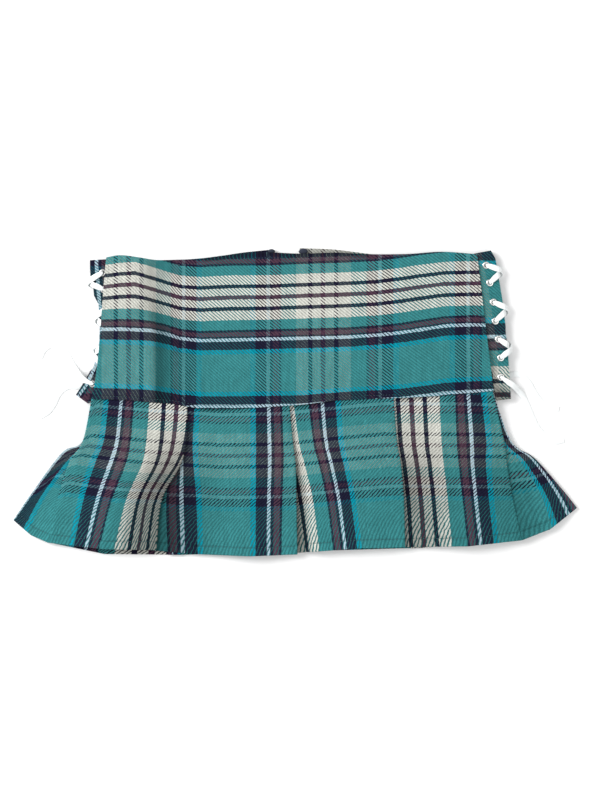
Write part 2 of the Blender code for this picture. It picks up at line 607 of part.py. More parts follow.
build_yoke_front(cloth)
build_yoke_back("yoke_back_left", BACK_YOKE_LEFT, cloth)
build_yoke_back("yoke_back_right", BACK_YOKE_RIGHT, cloth)
build_flounce("flounce_front", LEFT_SIDE_LINES + FRONT_INNER_LINES + RIGHT_SIDE_LINES, cloth)
build_flounce("flounce_back",
              [back_side_line(line) for line in LEFT_SIDE_LINES] + back_inner_lines()
              + [back_side_line(line) for line in RIGHT_SIDE_LINES], cloth)
for side, cells in (("left", LEFT_STRIP), ("right", RIGHT_STRIP)):
    build_strip("strip_front_" + side, cells, FRONT_STRIP_LIFT, cloth_dark)
    build_strip("strip_back_" + side, cells, BACK_STRIP_LIFT, cloth_dark)
    for number, cell in enumerate(cells[1:-1], start=1):
        build_eyelet(f"eyelet_front_{side}_{number}", cell, FRONT_STRIP_LIFT, 1, metal)
        build_eyelet(f"eyelet_back_{side}_{number}", cell, BACK_STRIP_LIFT, -1, metal)
    build_lace("lace_" + side, cells, TAILS[side + "_front"], TAILS[side + "_back"], ribbon)
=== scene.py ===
"""Looks of the pleated tartan skirt with laced sides, laid flat.

Lengths in the tables are millimetres on the layout board: "across" runs to +X,
"down" runs to the hem (-Y), and "lift" is the height of the middle of the cloth.
Cloth coordinates: u counts warp millimetres from the centre of a white block,
v counts weft millimetres from the centre of a white block, down the cloth.
"""

import json
import math
from collections import namedtuple

import bmesh
import bpy
from mathutils import Vector, noise
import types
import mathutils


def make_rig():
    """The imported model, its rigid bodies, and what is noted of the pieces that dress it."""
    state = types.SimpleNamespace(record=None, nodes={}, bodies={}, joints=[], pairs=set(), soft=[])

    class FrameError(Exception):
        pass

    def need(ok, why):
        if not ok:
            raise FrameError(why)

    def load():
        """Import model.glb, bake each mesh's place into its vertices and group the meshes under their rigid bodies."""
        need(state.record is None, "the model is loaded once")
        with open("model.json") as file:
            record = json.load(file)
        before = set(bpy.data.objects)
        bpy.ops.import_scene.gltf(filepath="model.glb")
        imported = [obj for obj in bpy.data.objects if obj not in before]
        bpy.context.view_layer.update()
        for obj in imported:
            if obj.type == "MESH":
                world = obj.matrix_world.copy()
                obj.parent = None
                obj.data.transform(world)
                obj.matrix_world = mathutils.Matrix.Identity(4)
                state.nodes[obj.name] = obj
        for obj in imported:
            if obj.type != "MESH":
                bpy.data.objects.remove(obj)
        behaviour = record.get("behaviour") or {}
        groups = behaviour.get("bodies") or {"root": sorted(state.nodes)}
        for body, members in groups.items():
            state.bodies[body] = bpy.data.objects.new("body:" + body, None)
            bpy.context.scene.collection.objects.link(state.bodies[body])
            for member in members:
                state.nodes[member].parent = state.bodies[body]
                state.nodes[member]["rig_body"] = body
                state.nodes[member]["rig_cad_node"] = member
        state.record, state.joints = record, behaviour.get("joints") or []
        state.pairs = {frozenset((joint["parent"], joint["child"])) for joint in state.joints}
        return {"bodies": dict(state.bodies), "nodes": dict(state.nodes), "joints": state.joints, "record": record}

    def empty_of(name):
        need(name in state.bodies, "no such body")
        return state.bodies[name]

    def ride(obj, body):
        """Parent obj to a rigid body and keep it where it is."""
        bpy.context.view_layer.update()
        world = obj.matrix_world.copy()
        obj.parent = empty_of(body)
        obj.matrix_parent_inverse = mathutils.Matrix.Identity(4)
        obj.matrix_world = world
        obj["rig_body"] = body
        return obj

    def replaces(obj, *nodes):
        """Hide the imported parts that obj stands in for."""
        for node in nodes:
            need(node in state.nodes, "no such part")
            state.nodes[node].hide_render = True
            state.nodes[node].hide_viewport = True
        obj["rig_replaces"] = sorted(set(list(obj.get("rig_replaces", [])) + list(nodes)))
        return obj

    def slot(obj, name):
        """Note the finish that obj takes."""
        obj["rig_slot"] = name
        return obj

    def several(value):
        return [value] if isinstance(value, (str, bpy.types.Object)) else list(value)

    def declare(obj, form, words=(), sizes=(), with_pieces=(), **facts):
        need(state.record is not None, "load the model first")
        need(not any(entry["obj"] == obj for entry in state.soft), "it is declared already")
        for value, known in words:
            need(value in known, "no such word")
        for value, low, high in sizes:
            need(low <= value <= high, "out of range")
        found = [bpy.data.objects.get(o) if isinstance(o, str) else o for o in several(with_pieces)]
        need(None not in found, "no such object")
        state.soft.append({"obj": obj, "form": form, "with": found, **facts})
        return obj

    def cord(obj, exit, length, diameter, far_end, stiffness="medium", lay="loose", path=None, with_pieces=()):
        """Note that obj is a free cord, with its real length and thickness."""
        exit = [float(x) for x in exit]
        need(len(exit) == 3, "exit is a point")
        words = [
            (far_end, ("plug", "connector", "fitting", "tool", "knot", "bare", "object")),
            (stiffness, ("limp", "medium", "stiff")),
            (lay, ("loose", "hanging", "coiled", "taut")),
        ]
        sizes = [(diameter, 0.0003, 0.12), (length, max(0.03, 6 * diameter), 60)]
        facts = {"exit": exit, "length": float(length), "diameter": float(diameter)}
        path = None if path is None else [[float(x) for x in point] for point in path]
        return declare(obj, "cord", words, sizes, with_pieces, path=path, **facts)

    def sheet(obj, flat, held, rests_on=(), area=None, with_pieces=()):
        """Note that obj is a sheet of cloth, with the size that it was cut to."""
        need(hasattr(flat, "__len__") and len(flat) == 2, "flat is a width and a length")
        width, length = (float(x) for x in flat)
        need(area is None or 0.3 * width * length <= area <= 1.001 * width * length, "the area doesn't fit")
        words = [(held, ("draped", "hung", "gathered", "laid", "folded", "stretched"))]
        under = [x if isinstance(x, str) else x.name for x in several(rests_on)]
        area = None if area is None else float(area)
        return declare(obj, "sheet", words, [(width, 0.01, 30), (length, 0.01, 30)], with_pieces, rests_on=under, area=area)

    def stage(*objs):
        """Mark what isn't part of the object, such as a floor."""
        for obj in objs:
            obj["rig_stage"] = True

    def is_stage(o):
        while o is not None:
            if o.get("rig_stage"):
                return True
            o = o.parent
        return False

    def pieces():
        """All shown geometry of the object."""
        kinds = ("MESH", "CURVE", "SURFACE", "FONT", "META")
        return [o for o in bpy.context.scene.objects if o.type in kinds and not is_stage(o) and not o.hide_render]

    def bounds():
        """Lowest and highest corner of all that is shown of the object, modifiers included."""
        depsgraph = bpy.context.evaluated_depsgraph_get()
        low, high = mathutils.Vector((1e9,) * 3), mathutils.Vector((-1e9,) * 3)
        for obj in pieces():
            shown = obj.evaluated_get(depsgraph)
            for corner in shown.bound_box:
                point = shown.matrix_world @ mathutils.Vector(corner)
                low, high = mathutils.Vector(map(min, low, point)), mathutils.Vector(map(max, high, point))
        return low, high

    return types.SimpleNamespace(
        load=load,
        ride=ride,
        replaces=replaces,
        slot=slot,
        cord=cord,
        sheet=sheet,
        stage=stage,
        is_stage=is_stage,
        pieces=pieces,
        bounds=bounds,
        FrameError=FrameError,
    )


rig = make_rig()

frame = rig.load()
cad_low, cad_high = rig.bounds()

MM = 0.001
BOARD_ACROSS = 295.19
BOARD_DOWN = 401.9
CLOTH = 1.2
HALF = CLOTH / 2
THIN = 0.5                # half the thickness of the drawn cloth
LAYER = 1.5

EYELET_FLANGE = 3.65
STRIP_HOLE = 2.75
FRONT_STRIP_LIFT = 5.9
BACK_STRIP_LIFT = 2.6

RIBBON_WIDTH = 5.6
RIBBON_GATHERED = 2.7
RIBBON_THICK = 0.5
RIBBON_TOP = 8.15
RIBBON_FRONT_INSIDE = 4.75
RIBBON_BACK_INSIDE = 3.75
RIBBON_UNDER = 0.4

# Yarn colours, linear.
TEAL = (0.038, 0.215, 0.225)
NAVY = (0.010, 0.010, 0.029)
MAROON = (0.070, 0.034, 0.056)
WHITE = (0.58, 0.585, 0.53)
LIGHT_BLUE = (0.36, 0.49, 0.57)
CYAN = (0.001, 0.245, 0.325)

# Half of each sett from the middle of its white block: end of the band, colour.
WARP_SETT = [
    (2.2, MAROON), (10.9, WHITE), (15.1, NAVY), (28.0, WHITE), (43.3, TEAL), (45.9, NAVY),
    (52.2, MAROON), (55.3, NAVY), (59.1, LIGHT_BLUE), (70.6, NAVY), (76.2, CYAN), (101.6, TEAL),
]
WEFT_SETT = [
    (1.8, MAROON), (8.9, WHITE), (12.6, NAVY), (21.8, WHITE), (31.6, TEAL), (34.0, NAVY),
    (37.8, MAROON), (39.7, NAVY), (42.7, LIGHT_BLUE), (50.8, NAVY), (55.0, CYAN), (73.3, TEAL),
]

# ---------------------------------------------------------------- tables
YokeSection = namedtuple("YokeSection", "name top_across top_down seam_across seam_down top_lift mid_lift seam_lift")
FRONT_YOKE = [
    YokeSection("left_edge", 107.0, 258.0, 92.5, 398.8, 10.4, 10.4, 10.2),
    YokeSection("left_crown", 121.0, 255.8, 109.0, 399.2, 10.0, 10.2, 10.0),
    YokeSection("left_slope", 140.0, 258.0, 130.0, 400.0, 8.6, 8.8, 9.8),
    YokeSection("trough_left", 156.0, 260.3, 150.0, 402.0, 5.2, 5.6, 9.7),
    YokeSection("trough", 176.0, 260.0, 172.0, 403.5, 4.0, 4.4, 9.6),
    YokeSection("trough_right", 200.0, 258.8, 200.0, 408.0, 4.4, 5.0, 9.6),
    YokeSection("panel_two", 236.0, 254.4, 236.0, 408.5, 5.2, 6.0, 9.6),
    YokeSection("left_of_centre", 270.0, 253.0, 270.0, 406.5, 5.6, 6.4, 9.6),
    YokeSection("centre", 302.0, 254.0, 302.0, 404.4, 5.6, 6.4, 9.6),
    YokeSection("right_of_centre", 336.0, 253.0, 336.0, 400.3, 5.6, 6.4, 9.6),
    YokeSection("pleat_three", 371.0, 254.6, 371.0, 398.5, 5.6, 6.4, 9.6),
    YokeSection("panel_four", 408.0, 254.3, 409.0, 397.2, 5.8, 6.6, 9.6),
    YokeSection("right_slope", 442.0, 252.2, 449.0, 394.8, 6.6, 7.0, 9.6),
    YokeSection("right_edge", 476.7, 254.6, 493.0, 390.6, 7.6, 7.6, 9.7),
]
BackSection = namedtuple("BackSection", "name top_across top_down seam_across seam_down")
BACK_YOKE_LEFT = [
    BackSection("side", 113.5, 260.0, 111.0, 399.7),
    BackSection("hip", 150.0, 261.5, 142.0, 399.6),
    BackSection("panel", 205.0, 258.0, 203.0, 399.5),
    BackSection("crown", 243.0, 252.6, 250.0, 399.0),
    BackSection("corner", 272.5, 249.6, 289.85, 398.6),
]
BACK_YOKE_RIGHT = [
    BackSection("corner", 300.0, 248.2, 290.15, 398.6),
    BackSection("crown", 335.0, 249.6, 335.0, 396.7),
    BackSection("panel", 385.0, 255.4, 387.0, 393.9),
    BackSection("hip", 430.0, 254.4, 438.0, 391.7),
    BackSection("side", 474.0, 256.0, 488.0, 388.6),
]
# Where three weft lines of the front yoke run.
WeftLine = namedtuple("WeftLine", "across maroon light_blue cyan_end")
YOKE_WEFT = [
    WeftLine(92, 289.0, 329.0, 387.8), WeftLine(107, 287.0, 329.0, 388.2), WeftLine(120, 285.3, 329.0, 388.5),
    WeftLine(135, 284.3, 329.4, 389.3), WeftLine(150, 288.5, 330.0, 390.0), WeftLine(165, 293.2, 333.0, 392.0),
    WeftLine(180, 297.5, 338.0, 394.5), WeftLine(200, 299.0, 340.3, 396.5), WeftLine(230, 297.5, 339.7, 396.5),
    WeftLine(270, 297.3, 338.7, 396.0), WeftLine(300, 296.0, 338.0, 395.5), WeftLine(345, 294.5, 337.0, 392.0),
    WeftLine(375, 293.0, 335.0, 390.5), WeftLine(400, 290.0, 332.5, 389.0), WeftLine(420, 287.0, 329.5, 386.5),
    WeftLine(445, 284.0, 325.5, 383.0), WeftLine(470, 283.5, 324.5, 381.5), WeftLine(495, 283.5, 325.0, 381.0),
]
YOKE_WARP = [(32, -304.8), (129, -203.2), (323, 0.0), (525, 203.2)]
# Height of the flounce's dash row (v = 0) across the board.
FLOUNCE_WEFT = [(20, 470.0), (70, 452.0), (88, 446.0), (140, 451.0), (175, 453.5), (220, 456.0), (285, 455.0),
                (345, 448.5), (385, 445.0), (500, 445.5), (520, 447.0), (560, 460.0)]

FoldLine = namedtuple(
    "FoldLine",
    "name seam_across seam_down hip_across hip_down drop_across drop_down "
    "low_across low_down hem_across hem_down seam_lift hem_lift rise seam_warp hem_warp shade",
)
LEFT_SIDE_LINES = [
    FoldLine("side_seam_left", 92.2, 398.2, 83.0, 441.0, 62.0, 453.0, 32.0, 493.0, 13.4, 520.3, 5.1, 2.1, 0, -149, -144.6, 1),
    FoldLine("flare_left", 104.0, 398.0, 92.0, 441.0, 73.0, 460.0, 47.0, 497.0, 31.0, 535.0, 5.1, 4.4, 0, -131, -123, 1),
    FoldLine("side_pleat_left_inner", 119.0, 396.0, 108.0, 441.0, 86.0, 463.0, 62.5, 500.0, 47.4, 542.0, 5.1, 5.6, LAYER, -117, -99.5, 1),
    FoldLine("side_pleat_left_edge", 92.4, 398.2, 83.5, 441.0, 70.0, 462.0, 58.0, 500.0, 49.6, 542.5, 6.6, 5.9, LAYER, -88, -97, 1),
]
FRONT_INNER_LINES = [
    FoldLine("panel_one_crown", 142.0, 396.0, 138.0, 441.0, 133.0, 465.0, 118.0, 500.0, 104.0, 548.5, 8.1, 11.6, 0, -36, -39, 1),
    FoldLine("panel_one_right", 165.0, 396.5, 162.0, 441.0, 156.5, 465.0, 139.5, 500.0, 130.0, 549.0, 8.1, 12.4, 0, -13, -13, 0.47),
    FoldLine("pleat_one_edge", 187.0, 397.0, 186.0, 441.0, 180.0, 465.0, 161.5, 500.0, 156.0, 549.5, 8.1, 8.1, -LAYER, 9, 25.5, 0.36),
    FoldLine("pleat_one_inner", 159.5, 397.0, 160.0, 441.0, 160.0, 465.0, 152.0, 500.0, 151.5, 550.0, 6.6, 6.6, -LAYER, 36.5, 30, 0.3),
    FoldLine("panel_two_left", 194.5, 398.0, 192.5, 441.0, 193.5, 465.0, 197.0, 500.0, 199.0, 554.0, 5.1, 5.1, 0, 70, 71.6, 0.8),
    FoldLine("panel_two_crown", 250.0, 398.0, 250.0, 441.0, 250.0, 465.0, 250.0, 500.0, 250.0, 555.6, 8.1, 11.4, 0, 126.6, 126.6, 1),
    FoldLine("pleat_two_edge", 288.4, 398.0, 292.5, 441.0, 295.3, 465.0, 296.0, 500.0, 297.0, 554.0, 8.1, 8.1, -LAYER, 165.5, 175, 1),
    FoldLine("pleat_two_inner", 259.0, 398.0, 264.0, 441.0, 268.0, 465.0, 276.0, 500.0, 281.0, 554.0, 6.6, 6.6, -LAYER, 195, 191, 0.4),
    FoldLine("panel_three_valley", 290.6, 398.0, 294.6, 441.0, 298.0, 465.0, 302.0, 500.0, 306.0, 551.8, 5.1, 5.1, 0, 229.5, 214.2, 0.34),
    FoldLine("panel_three_ridge", 296.0, 397.0, 299.5, 441.0, 303.5, 465.0, 309.5, 500.0, 314.0, 551.2, 5.1, 9.4, 0, 234.8, 225, 1),
    FoldLine("panel_three_crown", 348.0, 394.0, 349.0, 441.0, 352.0, 465.0, 357.0, 500.0, 361.5, 547.6, 8.1, 11.2, 0, 287, 279, 1),
    FoldLine("pleat_three_edge", 392.5, 392.0, 396.5, 441.0, 400.5, 465.0, 403.5, 500.0, 404.5, 547.0, 8.1, 8.1, -LAYER, 330.8, 322, 1),
    FoldLine("pleat_three_inner", 363.5, 392.0, 366.0, 441.0, 369.0, 465.0, 372.0, 500.0, 374.0, 547.0, 6.6, 6.6, -LAYER, 360, 353.5, 0.5),
    FoldLine("panel_four_left", 399.0, 392.0, 402.0, 441.0, 406.0, 465.0, 410.0, 500.0, 413.0, 546.8, 5.1, 5.1, 0, 394.5, 395, 0.42),
    FoldLine("panel_four_crown", 455.0, 389.0, 457.0, 441.0, 459.0, 465.0, 463.0, 500.0, 468.0, 545.6, 8.1, 11.4, 0, 450.5, 451, 0.95),
]
RIGHT_SIDE_LINES = [
    FoldLine("side_pleat_right_edge", 491.5, 389.0, 503.5, 441.0, 506.5, 465.0, 512.5, 500.0, 521.0, 540.0, 8.1, 7.4, -LAYER, 488, 506, 0.82),
    FoldLine("side_pleat_right_inner", 463.0, 389.0, 482.0, 441.0, 496.0, 465.0, 506.0, 500.0, 522.6, 539.6, 6.6, 7.0, -LAYER, 520, 508, 0.62),
    FoldLine("flare_right", 477.0, 389.0, 503.0, 441.0, 522.0, 462.0, 541.0, 496.0, 550.0, 529.0, 5.1, 5.4, 0, 538, 531, 1),
    FoldLine("side_seam_right", 491.5, 389.0, 511.0, 441.0, 534.0, 458.0, 560.0, 487.0, 577.0, 508.0, 5.1, 2.1, 0, 550.5, 562, 1),
]
BackPleat = namedtuple("BackPleat", "name seam_across hem_across seam_depth hem_depth seam_down hem_down")
BACK_PLEATS = [
    BackPleat("back_pleat_one", 196.0, 178.0, 27.0, 10.0, 400.0, 554.6),
    BackPleat("back_pleat_two", 300.0, 302.0, 27.0, 14.0, 399.0, 551.0),
    BackPleat("back_pleat_three", 396.0, 412.0, 27.0, 12.0, 394.0, 548.0),
]

# Soft folds pressed by hand: from, to, height (minus for a trough) and half width.
Crease = namedtuple("Crease", "name across down to_across to_down height width")
FRONT_CREASES = [
    Crease("yoke_side_fold", 158, 300, 154, 392, -0.55, 5.0),
    Crease("yoke_side_ridge", 148, 330, 146, 395, 0.45, 5.0),
    Crease("yoke_slack", 196, 262, 188, 330, 0.5, 9.0),
    Crease("yoke_drag_left", 214, 372, 262, 396, -0.35, 5.0),
    Crease("yoke_dimple", 262, 300, 292, 318, -0.28, 9.0),
    Crease("yoke_pull", 330, 262, 338, 352, 0.3, 12.0),
    Crease("yoke_fold_right", 418, 262, 440, 340, -0.45, 9.0),
    Crease("yoke_ridge_right", 436, 258, 456, 362, 0.4, 8.0),
    Crease("yoke_drag_right", 380, 368, 432, 384, -0.3, 5.0),
    Crease("panel_one_fold", 112, 430, 84, 540, -0.7, 8.0),
    Crease("panel_one_ridge", 132, 440, 100, 552, 0.5, 9.0),
    Crease("panel_one_ripple", 160, 440, 136, 548, -0.4, 6.0),
    Crease("panel_two_fold", 214, 418, 222, 556, -0.45, 7.0),
    Crease("panel_two_ridge", 236, 450, 241, 558, 0.45, 9.0),
    Crease("panel_two_ripple", 268, 430, 277, 558, -0.45, 8.0),
    Crease("panel_three_fold", 327, 440, 334, 552, -0.5, 7.0),
    Crease("panel_three_ridge", 366, 430, 378, 552, 0.4, 9.0),
    Crease("panel_three_drag", 314, 404, 340, 420, -0.3, 4.0),
    Crease("panel_four_fold", 434, 446, 441, 548, -0.5, 8.0),
    Crease("panel_four_ridge", 482, 470, 495, 548, 0.5, 7.0),
    Crease("panel_four_drag", 470, 402, 440, 424, -0.3, 5.0),
    Crease("flare_left_light", 76, 470, 46, 545, 0.7, 6.0),
    Crease("flare_left_dark", 84, 478, 64, 545, -0.7, 5.0),
    Crease("flare_left_low", 62, 472, 26, 524, -0.5, 5.0),
    Crease("flare_right_fold", 506, 462, 515, 494, -0.8, 4.0),
    Crease("flare_right_long", 520, 468, 541, 528, -0.6, 6.0),
    Crease("flare_right_ridge", 532, 464, 557, 520, 0.5, 6.0),
]
BACK_CREASES = [
    Crease("seat_left", 160, 290, 168, 380, 0.35, 9.0),
    Crease("seat_right", 410, 290, 402, 372, 0.35, 9.0),
    Crease("hem_one", 130, 470, 118, 556, 0.4, 8.0),
    Crease("hem_two", 240, 460, 243, 556, 0.45, 9.0),
    Crease("hem_three", 352, 450, 358, 552, 0.4, 8.0),
    Crease("hem_four", 450, 450, 462, 548, 0.45, 8.0),
]

StripCell = namedtuple("StripCell", "name across down inner outer")
RIGHT_STRIP = [
    StripCell("top", 483.5, 251.9, 13.5, 7.4),
    StripCell("eyelet_1", 486.0, 265.3, 13.7, 10.4),
    StripCell("eyelet_2", 489.7, 282.9, 14.5, 9.6),
    StripCell("eyelet_3", 493.3, 302.2, 15.5, 9.2),
    StripCell("eyelet_4", 495.2, 321.1, 15.5, 9.6),
    StripCell("eyelet_5", 498.3, 339.2, 15.5, 8.2),
    StripCell("eyelet_6", 500.6, 357.8, 15.0, 7.6),
    StripCell("eyelet_7", 500.8, 377.2, 8.0, 8.6),
    StripCell("bottom", 503.4, 399.8, 7.0, 7.6),
]
LEFT_STRIP = [
    StripCell("top", 102.0, 259.6, 13.0, 12.0),
    StripCell("eyelet_1", 102.8, 272.8, 14.0, 12.4),
    StripCell("eyelet_2", 104.0, 289.6, 15.0, 10.4),
    StripCell("eyelet_3", 106.0, 309.0, 15.0, 7.0),
    StripCell("eyelet_4", 106.4, 327.6, 15.0, 6.6),
    StripCell("eyelet_5", 105.4, 346.0, 15.0, 6.6),
    StripCell("eyelet_6", 101.6, 365.0, 13.0, 7.0),
    StripCell("eyelet_7", 92.8, 384.0, 8.0, 8.6),
    StripCell("bottom", 82.0, 399.2, 7.6, 7.4),
]
TailPoint = namedtuple("TailPoint", "across down lift")
TAILS = {
    "right_front": [TailPoint(508.8, 382.6, 8.15), TailPoint(514.4, 386.6, 6.6), TailPoint(519.5, 391.5, 3.0),
                    TailPoint(524.5, 398.5, 0.6), TailPoint(529.0, 408.0, 0.35), TailPoint(533.0, 418.0, 0.35),
                    TailPoint(538.5, 428.5, 0.35), TailPoint(546.5, 436.5, 0.35), TailPoint(556.0, 441.5, 0.35),
                    TailPoint(564.5, 440.0, 0.35)],
    "right_back": [TailPoint(509.5, 375.5, 0.4), TailPoint(516.5, 374.0, 0.35), TailPoint(523.5, 376.5, 0.35),
                   TailPoint(529.5, 383.0, 0.35), TailPoint(534.5, 392.0, 0.35), TailPoint(541.0, 401.0, 0.35),
                   TailPoint(550.0, 407.0, 0.35), TailPoint(559.5, 409.0, 0.35)],
    "left_front": [TailPoint(84.4, 380.0, 8.15), TailPoint(79.0, 374.6, 6.6), TailPoint(74.8, 368.8, 3.0),
                   TailPoint(70.8, 362.4, 0.6), TailPoint(66.6, 354.0, 0.35), TailPoint(60.0, 347.0, 0.35),
                   TailPoint(51.0, 345.0, 0.35), TailPoint(43.4, 349.5, 0.35), TailPoint(39.0, 358.0, 0.35)],
    "left_back": [TailPoint(85.0, 388.4, 0.4), TailPoint(78.6, 387.0, 0.35), TailPoint(71.0, 386.0, 0.35),
                  TailPoint(63.4, 388.6, 0.35), TailPoint(57.4, 395.0, 0.35), TailPoint(53.4, 403.5, 0.35),
                  TailPoint(47.8, 411.5, 0.35), TailPoint(39.6, 416.5, 0.35)],
}


# ---------------------------------------------------------------- helpers
def place(across, down, lift):
    return Vector(((across - BOARD_ACROSS) * MM, (BOARD_DOWN - down) * MM, lift * MM))


def between(table, x):
    """Straight-line value of a table of (x, value) rows, held at its ends."""
    if x <= table[0][0]:
        return table[0][1]
    for (x0, y0), (x1, y1) in zip(table, table[1:]):
        if x <= x1:
            return y0 + (y1 - y0) * (x - x0) / (x1 - x0)
    return table[-1][1]


def smooth_between(values, step):
    last = len(values) - 1
    k = min(int(step), last - 1)
    t = step - k
    before = values[k - 1] if k > 0 else 2 * values[0] - values[1]
    after = values[k + 2] if k + 2 <= last else 2 * values[last] - values[last - 1]
    a, b = values[k], values[k + 1]
    return 0.5 * (2 * a + (b - before) * t + (2 * before - 5 * a + 4 * b - after) * t * t
                  + (3 * a - before - 3 * b + after) * t ** 3)


def ease(t):
    t = min(1.0, max(0.0, t))
    return t * t * (3 - 2 * t)


def unit2(x, z):
    size = math.hypot(x, z) or 1.0
    return x / size, z / size


def unit3(v):
    size = math.sqrt(sum(c * c for c in v)) or 1.0
    return tuple(c / size for c in v)


def cross3(a, b):
    return (a[1] * b[2] - a[2] * b[1], a[2] * b[0] - a[0] * b[2], a[0] * b[1] - a[1] * b[0])


def crease_height(creases, across, down):
    total = 0.0
    for c in creases:
        dx, dy = c.to_across - c.across, c.to_down - c.down
        size = dx * dx + dy * dy
        t = ((across - c.across) * dx + (down - c.down) * dy) / size
        if -0.25 < t < 1.25:
            off = abs((across - c.across) * dy - (down - c.down) * dx) / math.sqrt(size)
            if off < 3 * c.width:
                fade = ease((t + 0.25) / 0.45) * ease((1.25 - t) / 0.35)
                total += c.height * fade * math.exp(-(off / c.width) ** 2)
    return total


def softness(across, down, seed, size=26.0):
    """Slow unevenness of laid cloth, about -1 to 1."""
    return noise.noise(Vector((across / size, down / size, seed)))


def finish_mesh(name, points, faces, finish, coords=None, shades=None, sharp=38):
    mesh = bpy.data.meshes.new(name)
    mesh.from_pydata([tuple(p) for p in points], [], faces)
    if coords is not None:
        layer = mesh.attributes.new("cloth", "FLOAT_VECTOR", "POINT")
        layer.data.foreach_set("vector", [c for p in coords for c in p])
    if shades is not None:
        layer = mesh.attributes.new("shade", "FLOAT", "POINT")
        layer.data.foreach_set("value", shades)
    work = bmesh.new()
    work.from_mesh(mesh)
    bmesh.ops.recalc_face_normals(work, faces=work.faces)
    work.to_mesh(mesh)
    work.free()
    mesh.materials.append(finish)
    mesh.shade_smooth()
    mesh.set_sharp_from_angle(angle=math.radians(sharp))
    made = bpy.data.objects.new(name, mesh)
    bpy.context.scene.collection.objects.link(made)
    return made


def cloth_piece(name, rows, coords, finish, shades=None, half=THIN):
    """Thin closed cloth round a grid of middle points, with rounded raw edges."""
    levels, columns = len(rows), len(rows[0])
    middle = [[place(*p) for p in row] for row in rows]
    upper, lower = [], []
    for i in range(levels):
        for j in range(columns):
            along = middle[min(i + 1, levels - 1)][j] - middle[max(i - 1, 0)][j]
            across = middle[i][min(j + 1, columns - 1)] - middle[i][max(j - 1, 0)]
            normal = along.cross(across)
            normal.normalize()
            upper.append(middle[i][j] + normal * half * MM)
            lower.append(middle[i][j] - normal * half * MM)
    flat = [c for row in coords for c in row]
    shift = levels * columns
    faces = []
    for i in range(levels - 1):
        for j in range(columns - 1):
            a, b = i * columns + j, i * columns + j + 1
            c, d = a + columns, b + columns
            faces.append((a, c, d, b))
            faces.append((a + shift, b + shift, d + shift, c + shift))
    loop = [(0, j) for j in range(columns)]
    loop += [(i, columns - 1) for i in range(1, levels)]
    loop += [(levels - 1, j) for j in range(columns - 2, -1, -1)]
    loop += [(i, 0) for i in range(levels - 2, 0, -1)]
    rim, rim_coords = [], []
    for i, j in loop:
        out = Vector((0, 0, 0))
        if i == 0:
            out += (middle[0][j] - middle[1][j]).normalized()
        if i == levels - 1:
            out += (middle[i][j] - middle[i - 1][j]).normalized()
        if j == 0:
            out += (middle[i][0] - middle[i][1]).normalized()
        if j == columns - 1:
            out += (middle[i][j] - middle[i][j - 1]).normalized()
        rim.append(middle[i][j] + out.normalized() * 0.35 * MM)
        rim_coords.append(coords[i][j])
    for k in range(len(loop)):
        n = (k + 1) % len(loop)
        a = loop[k][0] * columns + loop[k][1]
        b = loop[n][0] * columns + loop[n][1]
        faces.append((a, b, 2 * shift + n, 2 * shift + k))
        faces.append((2 * shift + k, 2 * shift + n, b + shift, a + shift))
    tone = None
    if shades is not None:
        tone = [s for row in shades for s in row]
        tone = tone + tone + [shades[i][j] for i, j in loop]
    return finish_mesh(name, upper + lower + rim, faces, finish, flat + flat + rim_coords, tone)


# ---------------------------------------------------------------- materials
def node(tree, kind, **values):
    made = tree.nodes.new(kind)
    for key, value in values.items():
        setattr(made, key, value)
    return made


def math_node(tree, operation, first, second=None, third=None):
    made = node(tree, "ShaderNodeMath", operation=operation)
    for socket, value in zip(made.inputs, (first, second, third)):
        if value is None:
            continue
        if isinstance(value, (int, float)):
            socket.default_value = value
        else:
            tree.links.new(value, socket)
    return made.outputs[0]


def map_smooth(tree, value, low, high, to_low=0.0, to_high=1.0):
    made = node(tree, "ShaderNodeMapRange", interpolation_type="SMOOTHSTEP")
    tree.links.new(value, made.inputs["Value"])
    made.inputs["From Min"].default_value = low
    made.inputs["From Max"].default_value = high
    made.inputs["To Min"].default_value = to_low
    made.inputs["To Max"].default_value = to_high
    return made.outputs["Result"]


def noise_node(tree, vector, scale, detail=2.0, rough=0.55):
    made = node(tree, "ShaderNodeTexNoise")
    tree.links.new(vector, made.inputs["Vector"])
    made.inputs["Scale"].default_value = scale
    made.inputs["Detail"].default_value = detail
    made.inputs["Roughness"].default_value = rough
    return made.outputs["Fac"]


def sett_ramp(tree, value, sett):
    """Colour of a yarn counted from the middle of the white block."""
    half = sett[-1][0]
    folded = math_node(tree, "DIVIDE", math_node(tree, "PINGPONG", value, half), half)
    ramp = node(tree, "ShaderNodeValToRGB")
    ramp.color_ramp.interpolation = "CONSTANT"
    start = 0.0
    for k, (end, colour) in enumerate(sett):
        stop = ramp.color_ramp.elements[0] if k == 0 else ramp.color_ramp.elements.new(start)
        stop.position = start
        stop.color = (*colour, 1.0)
        start = end / half
    extra = [e for e in ramp.color_ramp.elements if e.position > 0.9999]
    for e in extra:
        ramp.color_ramp.elements.remove(e)
    tree.links.new(folded, ramp.inputs["Fac"])
    return ramp.outputs["Color"]


def mix_colour(tree, amount, first, second, blend="MIX"):
    made = node(tree, "ShaderNodeMix", data_type="RGBA", blend_type=blend)
    for name, value in (("Factor", amount), ("A", first), ("B", second)):
        sockets = [s for s in made.inputs if s.name == name and s.enabled]
        socket = sockets[0]
        if isinstance(value, (int, float)):
            socket.default_value = value
        elif isinstance(value, tuple):
            socket.default_value = (*value, 1.0)
        else:
            tree.links.new(value, socket)
    return [s for s in made.outputs if s.enabled][0]


